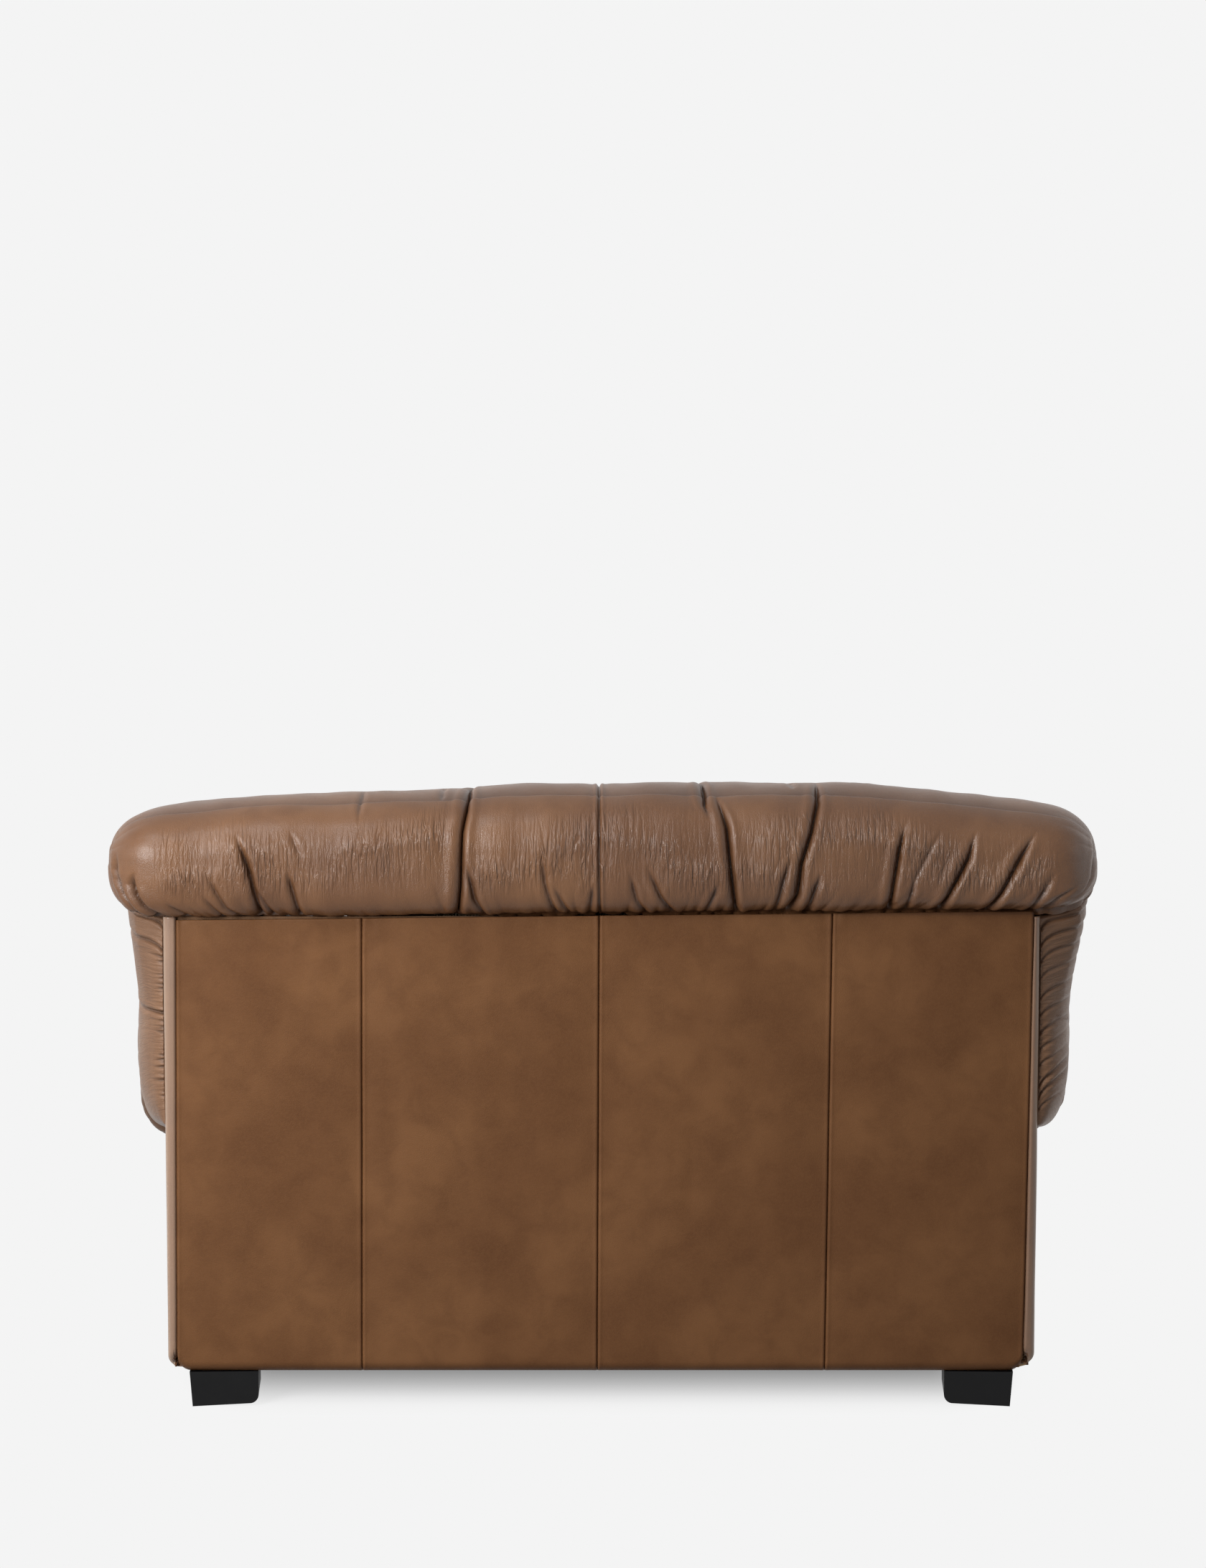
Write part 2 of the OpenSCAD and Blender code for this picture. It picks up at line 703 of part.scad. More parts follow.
// the puffed front of an arm: how far forward each ring is, and how much of the outline it fills
front_rings = [[0, -2], [0.1, 5], [0.3, 8], [0.55, 3], [0.76, -10], [0.9, -32], [0.975, -62], [1, -100]];
module arm_front(side) {
  outline = pad_ring(box_d);
  n = len(outline);
  centre = [side_x(border_y, (pad_in_front - pad_out_front) / 2), 0, pad_mid_z - 20];
  color("#765539") at_side(side) skin([
    for (r = front_rings) [
      for (i = [0:n - 1])
        let (
          p = outline[i], v = [p[0] - centre[0], p[2] - centre[2]],
          ripple = (i % 2 == 0 ? 1 : -1) * front_ripple * (r[0] > 0.05 && r[0] < 0.8 ? 1 : 0),
          k = 1 + (r[1] + front_draw(box_d) + ripple) / norm(v)
        )
        [centre[0] + v[0] * k, border_y - gap - r[0] * (arm_front_d - gap), centre[2] + v[1] * k]
    ]
  ]);
}

// Leather on the box

module leather() {
  color("#6f4c31") children();
}

// section of the flat leather, upright at x = 0 and turned under the box towards -x
module hem_section(top, under) {
  difference() {
    union() {
      translate([-hem_r, foot_h + hem_r]) circle(r = hem_r, $fn = 64);
      translate([-leather_t, foot_h + hem_r]) square([leather_t, top - foot_h - hem_r]);
      if (under > hem_r) translate([-under, foot_h]) square([under - hem_r, leather_t]);
    }
    translate([-far, foot_h + leather_t]) square([far - leather_t, far]);
    translate([-far - under, 0]) square([far, far]);
  }
}

// centre of the rounding of an upright corner; dir is 1 at the back and -1 at the front
function corner_y(dir) = dir > 0 ? back_y - corner_r : border_y + corner_r;
function corner_x(dir) = side_x(corner_y(dir), corner_r);

// the leather from x0 to x1 across the back, with a groove where it meets the next panel
module back_panel(x0, x1, hem0, hem1) {
  leather() difference() {
    translate([x0, back_y, 0]) rotate([90, 0, 90]) linear_extrude(x1 - x0)
      hem_section(back_seam_h, hem_w);
    for (x = [x0, x1]) translate([x, back_y, 0]) rotate([0, 0, 45])
      cube([groove * sqrt(2), groove * sqrt(2), far], center = true);
    // mitred at the corner of the hem, where the side's hem lies
    for (s = [-1, 1]) at_side(s)
      side_slab(-far, hem_w, corner_y(1) + gap, back_y - far, 0, foot_h + hem_r - gap);
  }
}

// a ring of the side leather at the point p of its outer face, which looks along the angle a
function hem_ring(p, a, under) = [
  for (q = concat(
    [[-leather_t, foot_h + leather_t], [-leather_t, back_seam_h], [0, back_seam_h]],
    [
      for (k = [0:hem_steps])
        let (b = 90 * k / hem_steps) [hem_r * (cos(b) - 1), foot_h + hem_r * (1 - sin(b))]
    ],
    [[-under, foot_h], [-under, foot_h + leather_t]]
  )) [p[0] + q[0] * cos(a), p[1] + q[0] * sin(a), q[1]]
];
function corner_rings(dir, a0, a1) = [
  for (k = [0:corner_steps])
    let (a = lerp(a0, a1, k / corner_steps))
    hem_ring([corner_x(dir) + corner_r * cos(a), corner_y(dir) + corner_r * sin(a)], a, corner_r - pleat)
];

// the leather round the side of the box: the front corner, the long side, the rear corner and the upright
// strip beside the outside back
module side_panel(side) {
  side_rings = [
    for (y = [corner_y(-1) + hem_taper, corner_y(1) - hem_taper]) hem_ring([side_x(y, 0), y], splay, hem_w)
  ];
  strip_end = hem_ring([strip_edge, back_y], 90, corner_r - pleat);
  leather() at_side(side) difference() {
    intersection() {
      skin(concat(corner_rings(-1, -90, splay), side_rings, corner_rings(1, splay, 90), [strip_end]));
      under_tuck(0, back_y - arm_start + gap);
    }
    translate([strip_edge, back_y, 0]) rotate([0, 0, 45])
      cube([groove * sqrt(2), groove * sqrt(2), far], center = true);
  }
}

module front_border() {
  leather() difference() {
    translate([-corner_x(-1), border_y, 0]) rotate([90, 0, 90]) linear_extrude(2 * corner_x(-1))
      mirror([1, 0]) hem_section(border_h, hem_w);
    for (s = [-1, 1]) at_side(s)
      side_slab(-far, hem_w, corner_y(-1) + far, corner_y(-1) - gap, 0, foot_h + hem_r - gap);
  }
}

// black cloth stapled under the box, cut out round the feet
module dust_cover() {
  edge = 30;
  color("#202020") translate([0, 0, foot_h - cloth_t]) linear_extrude(cloth_t) difference() {
    polygon([
      for (q = [[1, 1], [1, -1], [-1, -1], [-1, 1]])
        let (y = q[1] > 0 ? back_y - edge : border_y + edge) [q[0] * side_x(y, edge), y]
    ]);
    for (s = [-1, 1], y = [rear_foot_y, front_foot_y])
      translate([s * foot_x(y), y]) rotate(s * splay) square(foot_w + 2, center = true);
  }
}

// Feet

function foot_x(y) = side_x(y, foot_inset + foot_w / 2);

// the bolt stands inside the foot's middle, clear of the post above
function bolt_x(y) = foot_x(y) - bolt_in;
function bolt_y(y) = y - sign(y) * bolt_in;

module bolt_hole(y, r, z) {
  translate([bolt_x(y), bolt_y(y), z - 1]) cylinder(r = r, h = block_h + 2, $fn = 48);
}

// a block whose outer side leans in, and whose underside rises to a rounded inner edge
module foot_outline() {
  inner_low = glide_proud + foot_lift;
  difference() {
    polygon([
      [-foot_w / 2, inner_low], [foot_w / 2 - foot_taper, glide_proud], [foot_w / 2, foot_h], [-foot_w / 2, foot_h]
    ]);
    translate([-foot_w / 2, inner_low - foot_lift * foot_edge_r / foot_w]) difference() {
      translate([-1, -1]) square(foot_edge_r + 1);
      translate([foot_edge_r, foot_edge_r]) circle(r = foot_edge_r, $fn = 64);
    }
  }
}

// turned to lie along the leaning side of the box
module foot(side, y) {
  color("#1d1d1f") at_side(side) difference() {
    translate([foot_x(y), y, 0]) rotate([0, 0, splay])
      translate([0, foot_w / 2, 0]) rotate([90, 0, 0]) linear_extrude(foot_w) foot_outline();
    translate([bolt_x(y), bolt_y(y), bolt_low]) cylinder(r = bolt_r + 0.1, h = far, $fn = 48);
    translate([foot_x(y), y, -1]) cylinder(r = glide_r + 0.1, h = glide_t + 1, $fn = 64);
  }
}

module each_foot() {
  for (side = [-1, 1], y = [rear_foot_y, front_foot_y]) at_side(side)
    translate([bolt_x(y), bolt_y(y), 0]) children();
}

module foot_bolts() {
  color("silver") each_foot()
    translate([0, 0, bolt_low]) cylinder(r = bolt_r, h = bolt_high - bolt_low, $fn = 48);
}

module foot_nuts() {
  color("silver") each_foot() difference() {
    union() {
      translate([0, 0, rail_z + block_h]) cylinder(r = nut_flange_r, h = nut_flange_t, $fn = 48);
      translate([0, 0, rail_z + block_h - 14]) cylinder(r = nut_r - 0.1, h = 14 + nut_flange_t / 2, $fn = 48);
    }
    cylinder(r = bolt_r + 0.1, h = far, $fn = 48);
  }
}

module foot_glides() {
  color("#3a3a3a") for (side = [-1, 1], y = [rear_foot_y, front_foot_y]) at_side(side)
    translate([foot_x(y), y, 0]) cylinder(r = glide_r, h = glide_t, $fn = 64);
}

rear_rail();
front_rail();
side_rail(1);  // side_rail_left
side_rail(-1);  // side_rail_right
rear_post(1);  // rear_post_left
rear_post(-1);  // rear_post_right
front_post(1);  // front_post_left
front_post(-1);  // front_post_right
arm_rail(1);  // arm_rail_left
arm_rail(-1);  // arm_rail_right
back_rail(top_rail_z);  // back_top_rail
back_rail(mid_rail_z);  // back_mid_rail
spring_rail();
corner_blocks();
back_board();
side_board(1);  // side_board_left
side_board(-1);  // side_board_right
arm_board(1);  // arm_board_left
arm_board(-1);  // arm_board_right
seat_springs();
spring_clips();
back_webbing();
seat_deck();
seat_foam();
seat_cushion();
back_foam();
back_cushion();
roll_foam();
back_roll();
arm_foam(1);  // arm_foam_left
arm_foam(-1);  // arm_foam_right
arm_pad(1);  // arm_pad_left
arm_pad(-1);  // arm_pad_right
arm_front(1);  // arm_front_left
arm_front(-1);  // arm_front_right
back_panel(seam_x, strip_edge);  // back_panel_outer_left
back_panel(0, seam_x);  // back_panel_inner_left
back_panel(-seam_x, 0);  // back_panel_inner_right
back_panel(-strip_edge, -seam_x);  // back_panel_outer_right
side_panel(1);  // side_panel_left
side_panel(-1);  // side_panel_right
front_border();
dust_cover();
foot(1, rear_foot_y);  // foot_rear_left
foot(-1, rear_foot_y);  // foot_rear_right
foot(1, front_foot_y);  // foot_front_left
foot(-1, front_foot_y);  // foot_front_right
foot_bolts();
foot_nuts();
foot_glides();
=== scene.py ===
"""Dressing for the wide leather lounge chair: covers, cushions, finishes, floor, light and camera.

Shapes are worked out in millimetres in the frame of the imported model: +Z up, the sitter faces -Y, +X is the
sitter's left, and the origin is on the floor under the middle of the chair. Most covers are grids of points: a
section is carried along a line, then pushed along its normals by the leather's folds, gathers and swellings.
"""
import json
import math

import bpy
import numpy as np
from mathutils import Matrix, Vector


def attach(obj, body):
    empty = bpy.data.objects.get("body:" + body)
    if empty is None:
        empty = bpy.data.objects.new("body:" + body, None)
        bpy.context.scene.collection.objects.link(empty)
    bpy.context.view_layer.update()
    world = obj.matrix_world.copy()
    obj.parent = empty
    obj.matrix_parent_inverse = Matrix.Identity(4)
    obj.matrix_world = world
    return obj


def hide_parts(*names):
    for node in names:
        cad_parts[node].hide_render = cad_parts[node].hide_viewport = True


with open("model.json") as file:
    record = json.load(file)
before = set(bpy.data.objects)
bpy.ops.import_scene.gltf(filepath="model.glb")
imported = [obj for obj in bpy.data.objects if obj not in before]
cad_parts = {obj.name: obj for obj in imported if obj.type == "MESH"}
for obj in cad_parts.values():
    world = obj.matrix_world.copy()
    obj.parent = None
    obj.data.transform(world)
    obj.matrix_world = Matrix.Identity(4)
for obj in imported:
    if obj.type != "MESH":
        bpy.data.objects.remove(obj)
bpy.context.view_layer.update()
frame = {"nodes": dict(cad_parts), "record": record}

MM = 0.001
SIDE_NAME = {1: "left", -1: "right"}

# The leather box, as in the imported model: its faces, how its sides lean in plan, the leather, how far inside it
# the frame lies, its corners, its hem, the tuck at the pads, and the seam under the roll, which slopes
BOX_W = 970
BACK_Y = 426
BORDER_Y = -392
BOX_D = BACK_Y - BORDER_Y
SPLAY = math.atan(46 / BOX_D)
LEATHER_T = 5
GAP = 0.3
FRAME_OFF = 8
INNER_OFF = 64
POST_FRONT_Y = 373
ARM_RAIL_Z = 500
FOOT_H = 40
CORNER_R = 16
REAR_R = 8
HEM_R = 13
HEM_W = 46
TUCK = 60
BORDER_H = 239.8
SEAM_Z = 555
SEAM_SLOPE = 0.0105

# The roll: the middle and half-depth of its section, its underside and crest, how far the crest sinks, half its
# straight length, its rounded ends, its front measured from the outside back, and the exponents of its sections
ROLL_Y = 361
ROLL_HALF_D = 89
ROLL_LOW = 555.3
ROLL_TOP = 700
ROLL_ARCH = 24
ROLL_STRAIGHT = 485
ROLL_END = 66
ROLL_TIP = ROLL_STRAIGHT + ROLL_END
ROLL_FRONT_U = 154
ROLL_N_UP, ROLL_N_LOW = 2.4, 5.0
ROLL_END_N = 2.3

# The arms, with places measured from the outside back forwards: where the wall starts and ends, where the pad's
# skin starts and how far it swells from there, and the middle height and the exponent of its section
ARM_START = 20
ARM_END = 817.7
PAD_START = 7
PAD_PUFF_L = 62
PAD_MID_Z = 410
PAD_N = 2.7
FRONT_N = 2.6

# The cushions' places, and how the cloth simulation fills them
CUSHION_Z = 239.8
CUSHION_BACK_Y, CUSHION_FRONT_Y = 201, -442
CUSHION_EDGE_T, CUSHION_T = 128, 182
SEAT_MID_Y = -120
BACK_PAD_Y = 313
BACK_PAD_T, BACK_LEAN = 112, 34
VOXEL = 8.0
AIR_FRAMES = 20
AIR = {"use_pressure": True, "uniform_pressure_force": 4.0, "bending_stiffness": 0.3, "vertex_group_mass": "held",
       "vertex_group_shrink": "sewn", "shrink_max": 0.04}

# The studio: light from all round, the floor's own tone, the light that it throws back, how dark it gets under
# the chair, half the size of that patch and how fast it fades, and the lamps: place, aim, width, power
AMBIENT = 0.2
FLOOR_TONE = 0.8
FLOOR_BOUNCE = 0.08
FLOOR_SHADE = 0.74
FLOOR_PATCH = (0.38, 0.2, 0.0)
FLOOR_FADE = (8.3, 3.7, 0.0)
FLOOR_R = 9.0
LAMPS = [
    ("key", (1.35, 1.9, 1.1), (0.0, 0.35, 0.45), 0.9, 40.0),
    ("above", (1.0, 1.6, 2.6), (0.0, 0.2, 0.4), 1.0, 20.0),
    ("fill", (-3.2, 0.95, 1.3), (0.0, 0.2, 0.4), 1.8, 9.0),
    ("left", (3.2, 1.0, 1.2), (0.0, 0.2, 0.4), 1.6, 9.0),
    ("front", (2.0, -3.3, 1.7), (0.0, 0.0, 0.4), 1.8, 70.0),
]


# Arithmetic on whole arrays

def clamp(v):
    return np.clip(v, 0.0, 1.0)


def lerp(a, b, t):
    return a + (b - a) * t


def smooth(a, b, v):
    """0 before a, 1 past b, and a cubic ease between them."""
    t = clamp((v - a) / (b - a))
    return t * t * (3 - 2 * t)


def spow(v, e):
    """The power e of v's size, with v's sign."""
    return np.sign(v) * np.abs(v) ** e


def bow(f, n):
    """Half-width of a superellipse of exponent n at the share f of its other half-axis."""
    return np.maximum(0.0, 1 - np.abs(f) ** n) ** (1 / n)


def bell(d, width):
    return np.exp(-(d / width) ** 2)


def shaded(v, low, high):
    """v with its hollows scaled by low and its crowns by high."""
    return np.minimum(v, 0) * low + np.maximum(v, 0) * high


def running(a, b):
    """Length along the places (a, b), from the first on."""
    return np.concatenate([[0], np.cumsum(np.hypot(np.diff(a), np.diff(b)))])


def pairs(a, b):
    """Every pair of the two lists, as a grid."""
    return np.stack(np.meshgrid(a, b, indexing="ij"), 2)


def side_x(y, off):
    """x of a plane parallel to the box's leaning side face, and off inside it."""
    return BOX_W / 2 + (BACK_Y - y) * math.tan(SPLAY) - off / math.cos(SPLAY)


def noise(x, y, seed):
    """Smooth noise between about -1 and 1, of wavelength about 1: a slope is drawn for each point of a square
    lattice, and the planes through the four nearest points are blended."""
    cells = 64
    turn = np.random.default_rng(seed).random((cells, cells)) * 2 * math.pi
    xi, yi = np.floor(x).astype(int), np.floor(y).astype(int)
    fx, fy = x - xi, y - yi
    bx, by = (f * f * f * (f * (6 * f - 15) + 10) for f in (fx, fy))

    def plane(i, j):
        a = turn[(xi + i) % cells, (yi + j) % cells]
        return np.cos(a) * (fx - i) + np.sin(a) * (fy - j)

    low = lerp(plane(0, 0), plane(1, 0), bx)
    high = lerp(plane(0, 1), plane(1, 1), bx)
    return 1.5 * lerp(low, high, by)


def gathers(across, along, seed, bend=0.35):
    """Puckers of wavelength 1 across: round crowns between sharp valleys, between -1 and 1, wandering and
    changing in height along their length."""
    drift = across + bend * noise(across * 0.7, along * 0.6, seed)
    drift = drift + 0.3 * noise(across * 0.3, along * 0.3, seed + 1)
    crown = 2 * np.sqrt(np.abs(np.sin(math.pi * drift)) + 0.02) - 1.3
    return crown * (0.6 + 0.6 * noise(across * 0.5 + 9.3, along * 0.8, seed + 2))


def normals(points, wrap=False):
    """Unit normals of a grid of points: the cross product of the steps along rows and along columns. With wrap,
    the columns close on themselves."""
    if wrap:
        down = np.roll(points, -1, axis=1) - np.roll(points, 1, axis=1)
    else:
        down = np.gradient(points, axis=1)
    along = np.gradient(points, axis=0)
    n = np.cross(along, down)
    return n / np.maximum(np.linalg.norm(n, axis=2, keepdims=True), 1e-9)


def spaced(*stops):
    """Places from stop to stop: each stop is (place, step from there on), and the last is (place, anything)."""
    runs = []
    for (a, step), (b, _) in zip(stops, stops[1:]):
        count = max(1, int(round(abs(b - a) / step)))
        runs.append(np.linspace(a, b, count, endpoint=False))
    return np.concatenate(runs + [[stops[-1][0]]])


# Meshes

def finish_mesh(name, points, faces, corners, uv, marks, material, replaced=(), fill=None):
    """One piece, from points in millimetres, faces as lists of point numbers, UV in millimetres for each face
    corner, and marks, the values that its finish reads at each point."""
    mesh = bpy.data.meshes.new(name)
    mesh.from_pydata((points * MM).tolist(), [], faces)
    layer = mesh.uv_layers.new(name="cover")
    layer.data.foreach_set("uv", (uv[corners] * MM).astype(np.float32).ravel())
    for mark, values in marks.items():
        layer = mesh.attributes.new(mark, "FLOAT", "POINT")
        layer.data.foreach_set("value", values.astype(np.float32))
    mesh.polygons.foreach_set("use_smooth", np.ones(len(mesh.polygons), bool))
    mesh.materials.append(material)
    piece = bpy.data.objects.new(name, mesh)
    bpy.context.scene.collection.objects.link(piece)
    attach(piece, "root")
    if replaced:
        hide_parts(*replaced)


def quads(rows, cols, wrap):
    """Point numbers of the faces of a grid, and of its UV grid, which has one column more where it wraps."""
    j, i = np.meshgrid(np.arange(rows - 1), np.arange(cols if wrap else cols - 1), indexing="ij")
    j, i = j.ravel(), i.ravel()
    right = (i + 1) % cols
    wide = cols + 1 if wrap else cols
    faces = np.stack([j * cols + i, (j + 1) * cols + i, (j + 1) * cols + right, j * cols + right], 1)
    corners = np.stack([j * wide + i, (j + 1) * wide + i, (j + 1) * wide + i + 1, j * wide + i + 1], 1)
    return faces, corners


def skin(name, points, spare, faces, corners, uv, marks, **facts):
    """A piece over a grid of points and the spare ones after it, on which every mark is 0."""
    blank = np.zeros(len(spare))
    marks = {mark: np.concatenate([values.ravel(), blank]) for mark, values in marks.items()}
    finish_mesh(name, np.concatenate([points.reshape(-1, 3), spare]), faces, corners, uv.reshape(-1, 2), marks,
                **facts)


def saddle(name, points, lining, uv, marks, **facts):
    """A closed skin over open, C-shaped rings: the last places of each ring, as many as lining says, run back
    behind the first ones, and each end is a strip between the two. uv has one column more than points."""
    rows, cols = points.shape[:2]
    faces, corners = quads(rows, cols, True)
    n = cols - lining
    j = cols - 1 - np.round(np.arange(n) * (lining - 1) / (n - 1)).astype(int)
    strip = [[a, a + 1, j[a + 1], j[a]] if j[a + 1] != j[a] else [a, a + 1, j[a]] for a in range(n - 1)]
    back = [face[::-1] for face in strip]
    far = [[(rows - 1) * cols + k for k in face] for face in back]
    cap_uv = [k for face in strip for k in face] + [(rows - 1) * (cols + 1) + k for face in back for k in face]
    skin(name, points, np.empty((0, 3)), faces.tolist() + strip + far,
         np.concatenate([corners.ravel(), np.array(cap_uv)]), uv, marks, **facts)


def tube(name, points, uv, marks, **facts):
    """A closed skin over rings of points[ring, place], with the two end rings filled by fans about their
    middles. uv has one column more than points."""
    rows, cols = points.shape[:2]
    faces, corners = quads(rows, cols, True)
    i = np.arange(cols)
    right = (i + 1) % cols
    middle = np.full(cols, rows * cols)
    last, uv_last = (rows - 1) * cols, (rows - 1) * (cols + 1)
    caps = np.concatenate([np.stack([middle, i, right], 1), np.stack([middle + 1, last + right, last + i], 1)])
    cap_uv = np.concatenate([np.stack([i, i, i + 1], 1), uv_last + np.stack([i, i + 1, i], 1)])
    skin(name, points, np.stack([points[0].mean(0), points[-1].mean(0)]), faces.tolist() + caps.tolist(),
         np.concatenate([corners.ravel(), cap_uv.ravel()]), uv, marks, **facts)


def sheet_solid(name, outer, inner, uv, marks, **facts):
    """A closed sheet with a thickness: the grid outer, the grid inner behind it, and a rim joining their four
    edges."""
    rows, cols = outer.shape[:2]
    faces, _ = quads(rows, cols, False)
    count = rows * cols
    top, left = np.arange(cols), np.arange(rows) * cols
    rims = [np.stack([edge[:-1], edge[1:], edge[1:] + count, edge[:-1] + count], 1)
            for edge in (top, (top + count - cols)[::-1], left[::-1], left + cols - 1)]
    faces = np.concatenate([faces, (faces + count)[:, ::-1], *rims])
    skin(name, outer, inner.reshape(-1, 3), faces.tolist(), faces.ravel() % count, uv, marks, **facts)


# Shader maths

class Socket:
    """An output of a shader node. Arithmetic on it adds Math nodes."""

    def __init__(self, paint, link):
        self.paint = paint
        self.link = link

    def math(self, operation, *others, swap=False):
        values = (others[0], self) if swap else (self, *others)
        return self.paint.get("Math", {"operation": operation}, dict(enumerate(values)))

    def __add__(self, other):
        return self.math("ADD", other)

    def __sub__(self, other):
        return self.math("SUBTRACT", other)

    def __rsub__(self, other):
        return self.math("SUBTRACT", other, swap=True)

    def __mul__(self, other):
        return self.math("MULTIPLY", other)

    __radd__ = __add__

    def above(self, low, high):
        """0 below low, 1 above high, eased between."""
        return self.paint.get("MapRange", {"interpolation_type": "SMOOTHSTEP"}, {0: self, 1: low, 2: high})


class Paint:
    """The node tree of one finish."""

    def __init__(self, name, world=None):
        self.owner = world or bpy.data.materials.new(name)
        self.owner.use_nodes = True
        self.tree = self.owner.node_tree
        self.tree.nodes.clear()

    def node(self, kind, settings=None, sockets=None):
        """A node of that kind, with its settings, a ramp's stops among them, and its sockets' values or links."""
        made = self.tree.nodes.new("ShaderNode" + kind)
        for key, value in (settings or {}).items():
            if key == "stops":
                ramp = made.color_ramp.elements
                for k, (place, colour) in enumerate(value):
                    stop = ramp[k] if k < 2 else ramp.new(place)
                    stop.position = place
                    stop.color = (*colour, 1)
            else:
                setattr(made, key, value)
        for key, value in (sockets or {}).items():
            if isinstance(value, Socket):
                self.tree.links.new(value.link, made.inputs[key])
            else:
                made.inputs[key].default_value = value
        return made

    def get(self, kind, settings=None, sockets=None, output=0):
        return Socket(self, self.node(kind, settings, sockets).outputs[output])

    def place(self):
        return self.get("TexCoord", output="Object")

    def stretched(self, scale, source=None):
        """Coordinates scaled by three numbers."""
        return self.get("Mapping", {}, {0: source or self.place(), 3: scale})

    def noise(self, where, scale, detail=2.0, rough=0.5, distortion=0.0):
        return self.get("TexNoise", {}, {"Vector": where, "Scale": scale, "Detail": detail, "Roughness": rough,
                                         "Distortion": distortion})

    def cells(self, where, scale, feature="F1"):
        return self.get("TexVoronoi", {"feature": feature}, {"Vector": where, "Scale": scale})

    def mix(self, share, a, b, blend="MIX"):
        """One colour into another."""
        return self.get("Mix", {"data_type": "RGBA", "blend_type": blend},
                        {0: share, 6: colour(a), 7: colour(b)}, output=2)

    def bump(self, height, distance, strength=1.0, under=None):
        sockets = {"Height": height, "Distance": distance, "Strength": strength}
        if under:
            sockets["Normal"] = under
        return self.get("Bump", {}, sockets)

    def surface(self, sockets):
        shader = self.get("BsdfPrincipled", {}, sockets)
        self.node("OutputMaterial", {}, {0: shader})
        return self.owner


def colour(value):
    """A socket stays as it is, and red, green and blue get an alpha of 1."""
    return value if isinstance(value, Socket) else (*value, 1)


def srgb(r, g, b):
    """Linear colour of an 8-bit screen colour."""
    return tuple(c / 12.92 if c <= 0.04045 else ((c + 0.055) / 1.055) ** 2.4 for c in (r / 255, g / 255, b / 255))


# Finishes

def leather_finish(name, stretch=0.0, puckers=0.0, crown_highlight=0.5, gloss=0.34, coat=0.1, dull=0.5, pale=0.0):
    """Semi-aniline leather: a mottled brown, darker where the fold mark is below zero, which is painted shade in
    folds, seams and hollows and under the roll, and paler where it is above, which is painted highlight on crowns
    and seam lips; a painted sheen towards a light grey-brown, on edges by the edge sheen mark and all over by
    pale; a fine pebble grain, and, by stretch, the short upright wrinkles of leather pulled over a roll."""
    p = Paint(name)
    where = p.place()
    cover = p.get("TexCoord", output="UV")
    fold = p.get("Attribute", {"attribute_name": "fold"}, output="Fac")
    cloud = p.noise(where, 7.0, 3.0, 0.55)
    patch = p.noise(where, 26.0, 3.0, 0.6, 0.4)
    fine = p.noise(where, 420.0, 2.0, 0.6)
    tone = p.mix(cloud.above(0.32, 0.68), srgb(104, 69, 43), srgb(122, 84, 54))
    tone = p.mix(patch.above(0.35, 0.75) * 0.42, tone, srgb(88, 56, 34))
    tone = p.mix(fine.above(0.3, 0.8) * 0.2, tone, srgb(130, 90, 58))
    # painted shade: the colour darkens where the fold mark is below zero, in creases, seam grooves and under the
    # roll
    tone = p.mix((0 - fold).above(0.5, 6.0) * 0.6, tone, srgb(50, 29, 18))
    # painted highlight: the colour pales where the fold mark is above zero, on crowns and beside seams
    tone = p.mix(fold.above(0.6, 3.5) * (0.3 * crown_highlight + 0.1), tone, srgb(140, 102, 72))
    # painted sheen: the colour goes towards a light grey-brown by the edge sheen mark and, all over, by pale
    painted_edge_sheen = p.get("Attribute", {"attribute_name": "painted_edge_sheen"}, output="Fac")
    tone = p.mix(painted_edge_sheen + pale, tone, srgb(186, 160, 140))
    pebble = p.cells(where, 900.0)
    crackle = p.cells(where, 520.0, "DISTANCE_TO_EDGE")
    grain = pebble * 0.5 + crackle.above(0.0, 0.2) * 0.5 + fine * 0.4
    normal = p.bump(grain, 0.00022, 0.75)
    rough = dull + (patch - 0.5) * 0.14 + (fine - 0.5) * 0.12
    if stretch:
        across = p.stretched((260.0, 34.0, 1.0), cover)
        lines = p.noise(across, 1.0, 2.0, 0.55, 0.6)
        deep = p.noise(p.stretched((120.0, 16.0, 1.0), cover), 1.0, 3.0, 0.6, 0.5)
        where_pulled = p.noise(p.stretched((9.0, 14.0, 1.0), cover), 1.0, 1.0).above(0.4, 0.62)
        pulled = p.get("Attribute", {"attribute_name": "pull"}, output="Fac") * (where_pulled * 0.75 + 0.25)
        normal = p.bump((lines.above(0.32, 0.62) * 0.6 + deep * 0.9) * pulled, 0.0022 * stretch, 1.0, normal)
        rough = rough - pulled * 0.1
    if puckers:
        short = p.noise(p.stretched((30.0, 190.0, 1.0), cover), 1.0, 2.0, 0.55, 0.8)
        normal = p.bump(short.above(0.3, 0.7), 0.0012 * puckers, 1.0, normal)
    return p.surface({"Base Color": tone, "Roughness": rough, "Normal": normal, "Specular IOR Level": gloss,
                      "Coat Weight": coat, "Coat Roughness": 0.26})


def wood_finish(name, pale, dark, along):
    """Sawn timber: rings stretched along the board, and a fine pore."""
    p = Paint(name)
    scale = [26.0, 26.0, 26.0]
    scale[along] = 2.2
    rings = p.noise(p.stretched(tuple(scale)), 1.0, 4.0, 0.6, 1.2)
    pores = p.noise(p.stretched(tuple(6 * s for s in scale)), 1.0, 2.0)
    tone = p.mix(rings.above(0.35, 0.65), pale, dark)
    tone = p.mix(pores.above(0.55, 0.8) * 0.5, tone, dark)
    return p.surface({"Base Color": tone, "Roughness": 0.62 + rings * 0.15,
                      "Normal": p.bump(rings + pores, 0.0006, 0.6)})


